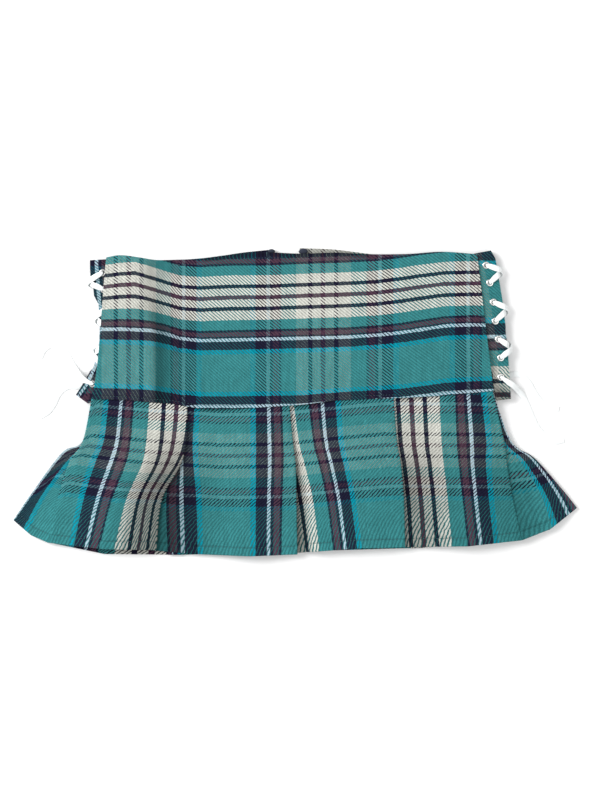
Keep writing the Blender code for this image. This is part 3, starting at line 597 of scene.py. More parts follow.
def tartan(name, warp_cycles, weft_cycles, warp_leads, lead, stitch_line, tone=1.0):
    """Brushed twill: warp and weft stripes showing by turns along its diagonals."""
    finish = bpy.data.materials.new(name)
    finish.use_nodes = True
    tree = finish.node_tree
    shader = tree.nodes["Principled BSDF"]
    cloth = node(tree, "ShaderNodeAttribute", attribute_name="cloth")
    parts = node(tree, "ShaderNodeSeparateXYZ")
    tree.links.new(cloth.outputs["Vector"], parts.inputs[0])
    wander = math_node(tree, "MULTIPLY", math_node(tree, "SUBTRACT", noise_node(tree, cloth.outputs["Vector"], 0.22, 3.0), 0.5), 1.5)
    u = math_node(tree, "ADD", parts.outputs["X"], wander)
    v = math_node(tree, "ADD", parts.outputs["Y"], wander)
    warp = sett_ramp(tree, u, WARP_SETT)
    weft = sett_ramp(tree, v, WEFT_SETT)
    phase = math_node(tree, "ADD", math_node(tree, "MULTIPLY", u, warp_cycles), math_node(tree, "MULTIPLY", v, weft_cycles))
    tri = math_node(tree, "MULTIPLY", math_node(tree, "ABSOLUTE", math_node(tree, "SUBTRACT", math_node(tree, "FRACT", phase), 0.5)), 2.0)
    fuzz = noise_node(tree, cloth.outputs["Vector"], 1.1, 3.0, 0.7)
    ragged = math_node(tree, "ADD", tri, math_node(tree, "MULTIPLY", math_node(tree, "SUBTRACT", fuzz, 0.5), 0.4))
    major, minor = (warp, weft) if warp_leads else (weft, warp)
    # a dark yarn under pale ones shows as lines; a pale one under dark ones hardly shows
    tones = []
    for yarn in (major, minor):
        tones.append(node(tree, "ShaderNodeRGBToBW"))
        tree.links.new(yarn, tones[-1].inputs[0])
    paler = map_smooth(tree, math_node(tree, "SUBTRACT", tones[1].outputs[0], tones[0].outputs[0]), -0.02, 0.25)
    palest = map_smooth(tree, math_node(tree, "SUBTRACT", tones[1].outputs[0], tones[0].outputs[0]), 0.42, 0.54)
    start = math_node(tree, "ADD", math_node(tree, "MULTIPLY", paler, 0.13), lead - 0.12)
    start = math_node(tree, "ADD", math_node(tree, "MULTIPLY", palest, 0.13), start)
    width = math_node(tree, "DIVIDE", math_node(tree, "SUBTRACT", ragged, start), 0.24)
    under = map_smooth(tree, width, 0.0, 1.0)
    under = math_node(tree, "MULTIPLY", under, math_node(tree, "SUBTRACT", 1.0, math_node(tree, "MULTIPLY", paler, 0.47)))
    # pale yarn under teal takes on its green
    minor = mix_colour(tree, paler, minor, mix_colour(tree, 1.0, (0.74, 1.0, 0.95), minor, "MULTIPLY"))
    colour = mix_colour(tree, under, major, minor)
    # brushed fibres carry some of the neighbouring yarn's colour
    haze = math_node(tree, "ADD", math_node(tree, "MULTIPLY", paler, 0.02), 0.015)
    colour = mix_colour(tree, haze, colour, minor)
    grain = map_smooth(tree, fuzz, 0.25, 0.75, 0.64, 1.22)
    streak_at = node(tree, "ShaderNodeVectorMath", operation="MULTIPLY")
    tree.links.new(cloth.outputs["Vector"], streak_at.inputs[0])
    streak_at.inputs[1].default_value = (0.55, 0.03, 0.0)
    streak = map_smooth(tree, noise_node(tree, streak_at.outputs[0], 1.0, 3.0), 0.3, 0.7, 0.90, 1.08)
    patch = math_node(tree, "MULTIPLY", streak, map_smooth(tree, noise_node(tree, cloth.outputs["Vector"], 0.09, 3.0), 0.3, 0.7, 0.94, 1.05))
    # darker along the twill diagonals: the weave's texture, with painted shade in its grooves
    ridge = map_smooth(tree, ragged, 0.1, 0.95, 1.12, 0.68)
    # painted shade in the groove along the stitched line
    stitch_groove_shade = map_smooth(tree, math_node(tree, "ABSOLUTE", math_node(tree, "SUBTRACT", parts.outputs["Z"], stitch_line)), 0.3, 1.3, 0.80, 1.0)
    shade = node(tree, "ShaderNodeAttribute", attribute_name="shade")
    level = math_node(tree, "MULTIPLY", math_node(tree, "MULTIPLY", grain, patch), math_node(tree, "MULTIPLY", ridge, stitch_groove_shade))
    level = math_node(tree, "MULTIPLY", math_node(tree, "MULTIPLY", level, shade.outputs["Fac"]), tone)
    grey = node(tree, "ShaderNodeCombineColor")
    for socket in grey.inputs[:3]:
        tree.links.new(level, socket)
    colour = mix_colour(tree, 1.0, colour, grey.outputs[0], "MULTIPLY")
    tree.links.new(colour, shader.inputs["Base Color"])
    shader.inputs["Roughness"].default_value = 0.92
    shader.inputs["Specular IOR Level"].default_value = 0.06
    shader.inputs["Sheen Weight"].default_value = 0.035
    shader.inputs["Sheen Roughness"].default_value = 0.5
    fold = map_smooth(tree, math_node(tree, "ABSOLUTE", math_node(tree, "SUBTRACT", parts.outputs["Z"], stitch_line)), 0.2, 1.6, 0.0, 0.9)
    height = math_node(tree, "ADD", math_node(tree, "MULTIPLY", tri, -0.35), math_node(tree, "MULTIPLY", fuzz, 0.8))
    height = math_node(tree, "ADD", height, fold)
    bump = node(tree, "ShaderNodeBump")
    bump.inputs["Strength"].default_value = 0.62
    bump.inputs["Distance"].default_value = 0.0005
    tree.links.new(height, bump.inputs["Height"])
    tree.links.new(bump.outputs["Normal"], shader.inputs["Normal"])
    return finish


def plain(name, colour, roughness, metallic=0.0, scale=900.0, depth=0.00012, spread=0.08, sheen=0.0):
    finish = bpy.data.materials.new(name)
    finish.use_nodes = True
    tree = finish.node_tree
    shader = tree.nodes["Principled BSDF"]
    where = node(tree, "ShaderNodeTexCoord")
    grain = noise_node(tree, where.outputs["Object"], scale, 3.0)
    level = map_smooth(tree, grain, 0.25, 0.75, 1.0 - spread, 1.0 + spread)
    grey = node(tree, "ShaderNodeCombineColor")
    for socket in grey.inputs[:3]:
        tree.links.new(level, socket)
    tree.links.new(mix_colour(tree, 1.0, colour, grey.outputs[0], "MULTIPLY"), shader.inputs["Base Color"])
    shader.inputs["Roughness"].default_value = roughness
    shader.inputs["Metallic"].default_value = metallic
    shader.inputs["Sheen Weight"].default_value = sheen
    bump = node(tree, "ShaderNodeBump")
    bump.inputs["Strength"].default_value = 0.4
    bump.inputs["Distance"].default_value = depth
    tree.links.new(grain, bump.inputs["Height"])
    tree.links.new(bump.outputs["Normal"], shader.inputs["Normal"])
    return finish


def ribbon_finish(name):
    """White woven tape: fine ribs across it."""
    finish = bpy.data.materials.new(name)
    finish.use_nodes = True
    tree = finish.node_tree
    shader = tree.nodes["Principled BSDF"]
    cloth = node(tree, "ShaderNodeAttribute", attribute_name="cloth")
    parts = node(tree, "ShaderNodeSeparateXYZ")
    tree.links.new(cloth.outputs["Vector"], parts.inputs[0])
    rib = math_node(tree, "ABSOLUTE", math_node(tree, "SUBTRACT", math_node(tree, "FRACT", math_node(tree, "MULTIPLY", parts.outputs["Y"], 1.6)), 0.5))
    level = map_smooth(tree, rib, 0.0, 0.5, 0.93, 1.0)
    grey = node(tree, "ShaderNodeCombineColor")
    for socket in grey.inputs[:3]:
        tree.links.new(level, socket)
    tree.links.new(mix_colour(tree, 1.0, (0.90, 0.93, 0.93), grey.outputs[0], "MULTIPLY"), shader.inputs["Base Color"])
    shader.inputs["Roughness"].default_value = 0.55
    shader.inputs["Sheen Weight"].default_value = 0.15
    bump = node(tree, "ShaderNodeBump")
    bump.inputs["Strength"].default_value = 0.4
    bump.inputs["Distance"].default_value = 0.0002
    tree.links.new(rib, bump.inputs["Height"])
    tree.links.new(bump.outputs["Normal"], shader.inputs["Normal"])
    return finish


YOKE = tartan("yoke_twill", 0.256, -0.31, False, 0.66, 3.0)
FLOUNCE = tartan("flounce_twill", 0.265, 0.30, True, 0.64, 8.0)
STRIP = tartan("strip_twill", 0.264, 0.338, True, 0.64, -50.0, 0.92)
RIBBON = ribbon_finish("ribbon_tape")
METAL = plain("eyelet_metal", (0.86, 0.86, 0.84), 0.28, 1.0, 700.0, 0.00003, 0.04)
THREAD = plain("sewing_thread", (0.035, 0.10, 0.115), 0.8, 0.0, 2500.0, 0.00006, 0.2, 0.1)
THREAD_DARK = plain("strip_thread", (0.010, 0.016, 0.034), 0.8, 0.0, 2500.0, 0.00006, 0.2, 0.1)
FLOOR = plain("paper_floor", (0.93, 0.93, 0.93), 0.95, 0.0, 60.0, 0.00002, 0.005)


# ---------------------------------------------------------------- yoke
def yoke_weft(across, down):
    rows = YOKE_WEFT
    maroon = between([(r.across, r.maroon) for r in rows], across)
    light = between([(r.across, r.light_blue) for r in rows], across)
    cyan = between([(r.across, r.cyan_end) for r in rows], across)
    if down < maroon:
        return max(down - maroon, -39.1)
    if down < light:
        return 41.0 * (down - maroon) / (light - maroon)
    weft = 41.0 + 54.8 * (down - light) / (cyan - light)
    if weft > 95.8:
        weft = 95.8 + (weft - 95.8) * between([(178, 0.58), (200, 1.0)], across)
    return weft


def section_grid(sections, fields, spans, rows):
    """Positions over a fan of sections: smooth across, straight from top to seam."""
    count = len(sections) - 1
    steps = [k / spans for k in range(count * spans + 1)]
    grid = []
    for i in range(rows + 1):
        t = i / rows
        grid.append([(t, [smooth_between([getattr(s, f) for s in sections], k) for f in fields]) for k in steps])
    return grid


def build_front_yoke():
    fields = ("top_across", "top_down", "seam_across", "seam_down", "top_lift", "mid_lift", "seam_lift")
    rows, coords, shades = [], [], []
    for line in section_grid(FRONT_YOKE, fields, 11, 62):
        row, mark, tone = [], [], []
        for t, (ta, td, sa, sd, tl, ml, sl) in line:
            across, down = ta + (sa - ta) * t, td + (sd - td) * t
            # the left edge hangs upright before it flares to the seam
            across += 9.0 * t * t * (1 - t) * 1.7 * max(0.0, 1 - max(0.0, across - 95) / 34)
            body = tl + (ml - tl) * min(1.0, 4 * t * (1 - t))
            lift = body + (sl - body) * ease((t - 0.52) / 0.31)
            inside = min(1.0, 8 * t, 8 * (1 - t))
            lift += crease_height(FRONT_CREASES, across, down) * inside
            lift += 0.16 * softness(across, down, 3.1) * inside
            lift = min(lift, 10.45)
            row.append((across, down, lift))
            mark.append((between(YOKE_WARP, across), yoke_weft(across, down), (1 - t) * (sd - td)))
            # the hollow beside the hip gathers shade
            low = ease((down - 285) / 60)
            hollow = ease((across - 138 - 12 * low) / (16 - 8 * low)) * math.exp(-max(0.0, across - 161) / (20 - 4 * low))
            # painted shade on the rolled top edge, darkest where the stripes run into it
            rolled_edge_shade = 0.42 * ease((across - 185) / 30) * ease((385 - across) / 30) * ease((0.03 - t) / 0.02)
            tone.append((1.0 - hollow * (0.24 + 0.36 * low)) * (1.0 - rolled_edge_shade))
        rows.append(row)
        coords.append(mark)
        shades.append(tone)
    return cloth_piece("yoke_front_cloth", rows, coords, YOKE, shades), rows


def build_back_yoke(name, sections):
    rows, coords, shades = [], [], []
    for line in section_grid(sections, ("top_across", "top_down", "seam_across", "seam_down"), 14, 40):
        row, mark, tone = [], [], []
        for t, (ta, td, sa, sd) in line:
            across, down = ta + (sa - ta) * t, td + (sd - td) * t
            lift = 0.62 + max(0.0, 0.5 * crease_height(BACK_CREASES, across, down))
            row.append((across, down, lift))
            # its top edge shows dark at the left half and pale at the right
            mark.append((between(YOKE_WARP, across), down - (204.0 if across < 290 else 233.0), 50.0))
            # painted shade: the back yoke is darkened, more at its right half
            tone.append(0.85 if across < 290 else 0.62)
        rows.append(row)
        coords.append(mark)
        shades.append(tone)
    return cloth_piece(name, rows, coords, YOKE, shades)


# ---------------------------------------------------------------- flounce
def line_points(line, rows):
    across = [line.seam_across, line.hip_across, line.drop_across, line.low_across, line.hem_across]
    down = [line.seam_down, line.hip_down, line.drop_down, line.low_down, line.hem_down]
    out = []
    for i in range(rows + 1):
        t = i / rows
        lift = line.seam_lift + (line.hem_lift - line.seam_lift) * t
        warp = line.seam_warp + (line.hem_warp - line.seam_warp) * t
        shade = 1.0 + (line.shade - 1.0) * ease(t * 1.5)
        out.append((smooth_between(across, 4 * t), smooth_between(down, 4 * t), lift, warp, shade))
    return out


def fold_fade(line, t):
    """The side pleats open out on the way to the hem."""
    return 1.0 - 0.9 * ease((t - 0.35) / 0.6) if line.name.startswith("side_pleat") else 1.0


def flounce_columns(lines, rows, pitch=3.2):
    """Every column of the flounce: panels between fold lines, and a round turn at each fold."""
    laid = [line_points(line, rows) for line in lines]
    columns = []
    tags = []
    for k, line in enumerate(lines):
        here = laid[k]
        fade = [fold_fade(line, i / rows) for i in range(rows + 1)]
        if line.rise:
            came = 1.0 if laid[k - 1][rows // 2][0] < here[rows // 2][0] else -1.0
            radius = abs(line.rise) / 2
            for step in range(7):
                turn = -math.pi / 2 + math.pi * step / 6
                bow = math.cos(turn) * radius - radius
                up = (math.sin(turn) + 1) / 2
                columns.append([(a + came * bow * f, d, z + line.rise * up * f, w, s) for (a, d, z, w, s), f in zip(here, fade)])
                tags.append(line.name)
            start = [(a - came * radius * f, d, z + line.rise * f, w, s) for (a, d, z, w, s), f in zip(here, fade)]
        else:
            columns.append(here)
            tags.append(line.name)
            start = here
        if k + 1 == len(lines):
            break
        target = laid[k + 1]
        end = target
        if lines[k + 1].rise:
            goes = 1.0 if target[rows // 2][0] > start[rows // 2][0] else -1.0
            radius = abs(lines[k + 1].rise) / 2
            end = [(a - goes * radius * fold_fade(lines[k + 1], i / rows), d, z, w, s) for i, (a, d, z, w, s) in enumerate(target)]
        wide = max(abs(start[i][0] - end[i][0]) + 0.5 * abs(start[i][1] - end[i][1]) for i in (0, rows // 2, rows))
        count = max(2, int(wide / pitch))
        for n in range(1, count):
            t = n / count
            s = ease(t)
            columns.append([(p[0] + (q[0] - p[0]) * t, p[1] + (q[1] - p[1]) * t, p[2] + (q[2] - p[2]) * s,
                             p[3] + (q[3] - p[3]) * t, p[4] + (q[4] - p[4]) * t) for p, q in zip(start, end)])
            tags.append(line.name + ">")
    return columns, tags


def weft_marks(column, zero_at):
    """Weft count down one column, by its length from where it crosses the dash row."""
    length = [0.0]
    for p, q in zip(column, column[1:]):
        length.append(length[-1] + math.hypot(q[0] - p[0], q[1] - p[1]))
    zero = None
    for i, (p, q) in enumerate(zip(column, column[1:])):
        here, there = p[1] - zero_at(p[0]), q[1] - zero_at(q[0])
        if here <= 0 < there:
            zero = length[i] + (length[i + 1] - length[i]) * (-here) / (there - here)
            break
    if zero is None:
        zero = length[-1] / 3
    # the last band runs on to the hem
    weft = [l - zero for l in length]
    weft = [l if l < 60 else 60 + 33 * (1 - math.exp(-(l - 60) / 33)) for l in weft]
    return weft, [length[-1] - l for l in length]


def build_flounce(name, lines, creases, zero_at, low, high, seed, wave):
    rows = 58
    columns, tags = flounce_columns(lines, rows)
    marks = [weft_marks(c, zero_at) for c in columns]
    grid, coords, shades = [], [], []
    for i in range(rows + 1):
        row, mark, tone = [], [], []
        t = i / rows
        for j, column in enumerate(columns):
            across, down, lift, warp, shade = column[i]
            soft = crease_height(creases, across, down) * ease(t * 2.5)
            soft += wave * softness(across, down, seed) * ease(t * 2) + wave * 0.6 * t * math.sin(across / 13.0 + seed)
            # layers move together, and never through the surface
            lift = lift + soft
            row.append((across, down, min(high, max(low, lift))))
            mark.append((warp, marks[j][0][i], marks[j][1][i]))
            tone.append(shade)
        grid.append(row)
        coords.append(mark)
        shades.append(tone)
    return cloth_piece(name, grid, coords, FLOUNCE, shades), grid, tags


def back_side_line(line):
    turned = {"side": (3.6, 0.6, 0), "flar": (3.6, 0.6 + 0.9, 0)}
    if line.rise:
        inner = "inner" in line.name
        lift = 3.6 if inner else 2.1
        rise = -LAYER
        if line.name.startswith("side_pleat_right"):
            lift, rise = (2.1, LAYER) if inner else (0.6, LAYER)
        return line._replace(seam_lift=lift, hem_lift=lift, rise=rise)
    seam_lift, hem_lift, rise = turned[line.name[:4]]
    return line._replace(seam_lift=seam_lift, hem_lift=hem_lift, rise=rise)


def back_inner_lines():
    lines = []

    def straight(name, seam_across, hem_across, seam_down, hem_down, lift, rise, warp):
        at = [seam_across + (hem_across - seam_across) * t for t in (0, 0.27, 0.42, 0.66, 1)]
        # every back line carries painted shade of 0.9
        lines.append(FoldLine(name, at[0], seam_down, at[1], 441.0, at[2], 465.0, at[3], 500.0,
                              at[4], hem_down, lift, lift, rise, warp, warp, 0.9))

    warp = -36.0
    reached = 140.0
    straight("back_panel_one", 140.0, 104.0, 400.0, 554.0, 0.6, 0, warp)
    for pleat in BACK_PLEATS:
        warp += pleat.seam_across - reached
        straight(pleat.name + "_edge", pleat.seam_across, pleat.hem_across, pleat.seam_down, pleat.hem_down, 0.6, LAYER, warp)
        warp += pleat.seam_depth
        straight(pleat.name + "_inner", pleat.seam_across - pleat.seam_depth, pleat.hem_across - pleat.hem_depth,
                 pleat.seam_down, pleat.hem_down, 2.1, LAYER, warp)
        warp += pleat.seam_depth + 1.5
        straight(pleat.name + "_pass", pleat.seam_across + 1.5, pleat.hem_across + 1.5,
                 pleat.seam_down, pleat.hem_down, 3.6, 0, warp)
        warp += 6.5
        straight(pleat.name + "_drop", pleat.seam_across + 8.0, pleat.hem_across + 8.0,
                 pleat.seam_down, pleat.hem_down, 0.6, 0, warp)
        reached = pleat.seam_across + 8.0
    return lines


# ---------------------------------------------------------------- strips, eyelets, laces
def strip_frames(cells):
    frames = []
    outward = 1.0 if cells[0].across > BOARD_ACROSS else -1.0
    for i, cell in enumerate(cells):
        a, b = cells[max(i - 1, 0)], cells[min(i + 1, len(cells) - 1)]
        dx, dy = unit2(b.across - a.across, b.down - a.down)
        frames.append(((dx, dy), (dy * outward, -dx * outward)))
    return frames


def build_strip(name, cells, lift, cloth_at, finish):
    """Strip of ringed cells with its eyelet holes."""
    frames = strip_frames(cells)

    def edge_points(i, j):
        centre = ((cells[i].across + cells[j].across) / 2, (cells[i].down + cells[j].down) / 2)
        inner = (cells[i].inner + cells[j].inner) / 2
        outer = (cells[i].outer + cells[j].outer) / 2
        out = unit2(*[(frames[i][1][k] + frames[j][1][k]) / 2 for k in (0, 1)])
        return [(centre[0] + out[0] * r, centre[1] + out[1] * r)
                for r in (-inner, -inner * 0.66, -inner / 3, 0.0, outer / 3, outer * 0.68, outer)]

    count = len(cells)
    edges = [edge_points(0, 0)]
    edges += [edge_points(i, i + 1) for i in range(1, count - 2)]
    edges += [edge_points(count - 1, count - 1)]
    points, coords, faces = [], [], []
    thick = 0.52

    def add(plan, dip=0.0):
        line = between([(c.down, c.across) for c in cells], plan[1])
        side = (plan[0] - line) if cells[0].across > BOARD_ACROSS else (line - plan[0])
        for level in (thick - dip, -thick + dip):
            points.append(place(plan[0], plan[1], lift + level + 0.05 * softness(plan[0], plan[1], 7.0, 9.0)))
            coords.append((*cloth_at(side, plan[1]), 20.0))
        return len(points) - 2

    rows = [[add(p, 0.18 if k in (0, 6) else 0.0) for k, p in enumerate(edge)] for edge in edges]
    inner_side, outer_side = [rows[0][0]], [rows[0][6]]
    for i in range(1, count - 1):
        (along, out), cell = frames[i], cells[i]
        top, bottom = rows[i - 1], rows[i]
        sides = {}
        for key, reach in (("in", -cell.inner), ("out", cell.outer)):
            sides[key] = [add((cell.across + out[0] * reach + along[0] * shift,
                               cell.down + out[1] * reach + along[1] * shift), 0.18) for shift in (-5.2, -2.6, 0.0, 2.6, 5.2)]
        inner_side += sides["in"] + [bottom[0]]
        outer_side += sides["out"] + [bottom[6]]
        rim = top + sides["out"] + bottom[::-1] + sides["in"][::-1]
        size = len(rim)
        angles = []
        for corner in rim:
            p = points[corner]
            x = p.x / MM + BOARD_ACROSS - cell.across
            y = BOARD_DOWN - p.y / MM - cell.down
            angles.append(math.atan2(y, x))
        start = angles[0]
        turn = 1.0 if math.sin(angles[1] - angles[0]) > 0 else -1.0
        around = [start + turn * 2 * math.pi * k / size for k in range(size)]
        # rings from the rim to the hole, turning evenly
        ring_before = rim
        for share in (0.45, 1.0):
            ring = []
            for k in range(size):
                hole = (cell.across + STRIP_HOLE * math.cos(around[k]), cell.down + STRIP_HOLE * math.sin(around[k]))
                p = points[rim[k]]
                corner = (p.x / MM + BOARD_ACROSS, BOARD_DOWN - p.y / MM)
                ring.append(add((corner[0] + (hole[0] - corner[0]) * share, corner[1] + (hole[1] - corner[1]) * share),
                                0.12 if share == 1.0 else 0.0))
            for k in range(size):
                n = (k + 1) % size
                faces.append((ring_before[k], ring_before[n], ring[n], ring[k]))
                faces.append((ring_before[n] + 1, ring_before[k] + 1, ring[k] + 1, ring[n] + 1))
            ring_before = ring
        for k in range(size):
            n = (k + 1) % size
            faces.append((ring_before[k], ring_before[n], ring_before[n] + 1, ring_before[k] + 1))
    border = rows[0] + outer_side[1:] + rows[-1][::-1][1:] + inner_side[::-1][1:-1]
    for k, a in enumerate(border):
        b = border[(k + 1) % len(border)]
        faces.append((b, a, a + 1, b + 1))
    # painted shade on the turned-under end of the right strips
    tucked_end_shade = [1.0 - (0.66 * ease((BOARD_DOWN - p.y / MM - 388.6) / 2.6) if p.x > 0 else 0.0) for p in points]
    return finish_mesh(name, points, faces, finish, coords, tucked_end_shade, 60)


def build_eyelets(name, cells, strip_lift, side, finish):
    """Rolled metal eyelets of one strip, as one joined mesh."""
    face = strip_lift + side * HALF
    profile = [(2.0, -1.15), (2.0, 0.62), (2.12, 0.86), (2.4, 0.99), (2.75, 1.0), (3.1, 0.93), (3.42, 0.74),
               (3.60, 0.46), (3.62, 0.32), (3.35, 0.30), (2.55, 0.30), (2.4, 0.16), (2.4, -1.15)]
    turns = 36
    size = len(profile)
    points, faces = [], []
    for cell in cells[1:-1]:
        first = len(points)
        for k in range(turns):
            turn = 2 * math.pi * k / turns
            for r, h in profile:
                points.append(place(cell.across + r * math.cos(turn), cell.down + r * math.sin(turn), face + side * h))
        for k in range(turns):
            n = (k + 1) % turns
            for j in range(size):
                m = (j + 1) % size
                faces.append((first + k * size + j, first + n * size + j, first + n * size + m, first + k * size + m))
    return finish_mesh(name, points, faces, finish, sharp=50)


def lace_route(cells, tail_front, tail_back):
    """Stations of one lace: position, direction across the ribbon, and its width."""
    eyelets = cells[1:-1]
    frames = strip_frames(cells)[1:-1]
    stations = []

    def put(across, down, lift, wide, width):
        stations.append(((across, down, lift), unit3(wide), width))

    def tail(points, reverse):
        ordered = list(reversed(points)) if reverse else list(points)
        for i, p in enumerate(ordered):
            a, b = ordered[max(i - 1, 0)], ordered[min(i + 1, len(ordered) - 1)]
            dx, dy = unit2(b.across - a.across, b.down - a.down)
            put(p.across, p.down, p.lift, (-dy, dx, 0), RIBBON_WIDTH)

    def flip(wide):
        last = stations[-1][1]
        return wide if sum(a * b for a, b in zip(last, wide)) >= 0 else tuple(-c for c in wide)

    def through(index, from_lift, to_lift, wide_out):
        cell = eyelets[index]
        wide_in = stations[-1][1]
        wide_out = wide_out if sum(a * b for a, b in zip(wide_in, wide_out)) >= 0 else tuple(-c for c in wide_out)
        for t, share in zip((0.0, 0.33, 0.66, 1.0), (0.0, 0.35, 0.7, 1.0)):
            wide = tuple(a + (b - a) * t for a, b in zip(wide_in, wide_out))
            put(cell.across, cell.down, from_lift + (to_lift - from_lift) * share, wide, RIBBON_GATHERED)

    def inside(start, end, lift):
        a, b = eyelets[start], eyelets[end]
        dx, dy = unit2(b.across - a.across, b.down - a.down)
        for t in (0.3, 0.7):
            put(a.across + (b.across - a.across) * t, a.down + (b.down - a.down) * t, lift,
                flip((-dy, dx, 0)), RIBBON_WIDTH * 0.8)

    def wrap(start, end, downwards, reach):
        a, b = eyelets[start], eyelets[end]
        out_a, out_b = frames[start][1], frames[end][1]
        centre, high = (RIBBON_TOP + RIBBON_UNDER) / 2, (RIBBON_TOP - RIBBON_UNDER) / 2
        edge_a, edge_b = a.outer - 1.6, b.outer - 1.6
        arc = math.pi * (high + reach) / 2
        length = edge_a + arc + edge_b
        path = [(edge_a * t, 1.0, t * edge_a / length, None) for t in (0.38, 0.75)]
        for k in range(7):
            turn = math.pi / 2 - math.pi * k / 6
            path.append((None, math.sin(turn), (edge_a + arc * k / 6) / length, math.cos(turn)))
        path += [(edge_b * t, -1.0, 1 - t * edge_b / length, None) for t in (0.75, 0.38)]
        places = []
        for far, rise, s, bow in path:
            base = (a.across + (b.across - a.across) * s, a.down + (b.down - a.down) * s)
            out = unit2(out_a[0] + (out_b[0] - out_a[0]) * s, out_a[1] + (out_b[1] - out_a[1]) * s)
            edge = edge_a + (edge_b - edge_a) * s
            away = far if far is not None else edge + reach * bow
            side = rise if downwards else -rise
            places.append(((base[0] + out[0] * away, base[1] + out[1] * away, centre + high * side),
                           (out[0] * (bow or 0.0), out[1] * (bow or 0.0), side if bow is None else side)))
        for i, (p, normal) in enumerate(places):
            q, r = places[max(i - 1, 0)][0], places[min(i + 1, len(places) - 1)][0]
            along = unit3(tuple(r[k] - q[k] for k in range(3)))
            wide = unit3(cross3(unit3(normal), along))
            put(*p, flip(wide), RIBBON_WIDTH * (0.9 if i in (0, len(places) - 1) else 1.0))

    def plan_wide(start, end):
        a, b = eyelets[start], eyelets[end]
        dx, dy = unit2(b.across - a.across, b.down - a.down)
        return (-dy, dx, 0)

    def out_wide(index):
        out = frames[index][1]
        return (-out[1], out[0], 0)

    near, far = 6.0, 3.4
    tail(tail_front, True)
    through(6, RIBBON_TOP, RIBBON_FRONT_INSIDE, plan_wide(6, 5))
    inside(6, 5, RIBBON_FRONT_INSIDE)
    through(5, RIBBON_FRONT_INSIDE, RIBBON_TOP, out_wide(5))
    wrap(5, 4, True, near)
    through(4, RIBBON_UNDER, RIBBON_BACK_INSIDE, plan_wide(4, 3))
    inside(4, 3, RIBBON_BACK_INSIDE)
    through(3, RIBBON_BACK_INSIDE, RIBBON_UNDER, out_wide(3))
    wrap(3, 2, False, near)
    through(2, RIBBON_TOP, RIBBON_FRONT_INSIDE, plan_wide(2, 1))
    inside(2, 1, RIBBON_FRONT_INSIDE)
    through(1, RIBBON_FRONT_INSIDE, RIBBON_TOP, out_wide(1))
    wrap(1, 0, True, far)
    through(0, RIBBON_UNDER, RIBBON_TOP, out_wide(0))
    wrap(0, 1, True, near)
    through(1, RIBBON_UNDER, RIBBON_BACK_INSIDE, plan_wide(1, 2))
    inside(1, 2, RIBBON_BACK_INSIDE)
    through(2, RIBBON_BACK_INSIDE, RIBBON_UNDER, out_wide(2))
    wrap(2, 3, False, far)
    through(3, RIBBON_TOP, RIBBON_FRONT_INSIDE, plan_wide(3, 4))
    inside(3, 4, RIBBON_FRONT_INSIDE)
    through(4, RIBBON_FRONT_INSIDE, RIBBON_TOP, out_wide(4))
    wrap(4, 5, True, far)
    through(5, RIBBON_UNDER, RIBBON_BACK_INSIDE, plan_wide(5, 6))
    inside(5, 6, RIBBON_BACK_INSIDE)
    through(6, RIBBON_BACK_INSIDE, RIBBON_UNDER, out_wide(6))
    tail(tail_back, False)
    return stations


def build_lace(name, cells, tail_front, tail_back, finish, backwards):
    """Flat ribbon through the stations, smoothed between them."""
    stations = lace_route(cells, tail_front, tail_back)
    # steady the side of the ribbon before smoothing
    steady = [stations[0]]
    for p, wide, width in stations[1:]:
        if sum(a * b for a, b in zip(wide, steady[-1][1])) < 0:
            wide = tuple(-c for c in wide)
        steady.append((p, wide, width))
    keep = [steady[0]]
    for s in steady[1:]:
        if math.dist(s[0], keep[-1][0]) > 0.25:
            keep.append(s)
    line, sides, widths = [], [], []
    parts = 4
    for k in range(len(keep) - 1):
        for n in range(parts):
            step = k + n / parts
            line.append(tuple(smooth_between([s[0][c] for s in keep[max(0, k - 2):k + 4]], step - max(0, k - 2)) for c in range(3)))
            sides.append(unit3(tuple(keep[k][1][c] + (keep[k + 1][1][c] - keep[k][1][c]) * n / parts for c in range(3))))
            widths.append(keep[k][2] + (keep[k + 1][2] - keep[k][2]) * n / parts)
    line.append(keep[-1][0])
    sides.append(keep[-1][1])
    widths.append(keep[-1][2])
    line = [(a, d, max(RIBBON_THICK / 2 + 0.06, z)) for a, d, z in line]
    if backwards:
        line.reverse()
        sides.reverse()
        widths.reverse()
    last = len(line) - 1
    points, coords, faces = [], [], []
    outline = [(-1.0, -0.4), (-0.93, -1.0), (0.93, -1.0), (1.0, -0.4), (1.0, 0.4), (0.93, 1.0), (-0.93, 1.0), (-1.0, 0.4)]
    size = len(outline)
    run = 0.0
    previous = None
    for i, p in enumerate(line):
        q, r = line[max(i - 1, 0)], line[min(i + 1, last)]
        along = unit3(tuple(r[k] - q[k] for k in range(3)))
        thick = unit3(cross3(along, sides[i]))
        wide = unit3(cross3(thick, along))
        if previous and sum(a * b for a, b in zip(wide, previous)) < 0:
            wide, thick = tuple(-c for c in wide), tuple(-c for c in thick)
        previous = wide
        if i:
            run += math.dist(p, line[i - 1])
        for a, b in outline:
            at = [p[k] + wide[k] * a * widths[i] / 2 + thick[k] * b * RIBBON_THICK / 2 for k in range(3)]
            points.append(place(at[0], at[1], max(0.04 + 0.03 * b, at[2])))
            coords.append((a * 2.5, run, 0.0))
    for i in range(last):
        for j in range(size):
            m = (j + 1) % size
            faces.append((i * size + j, (i + 1) * size + j, (i + 1) * size + m, i * size + m))
    faces.append(tuple(range(size)))
    faces.append(tuple(last * size + j for j in range(size - 1, -1, -1)))
    made = finish_mesh(name, points, faces, finish, coords, sharp=55)
    return made, [tuple(place(*p)) for p in line], run * MM


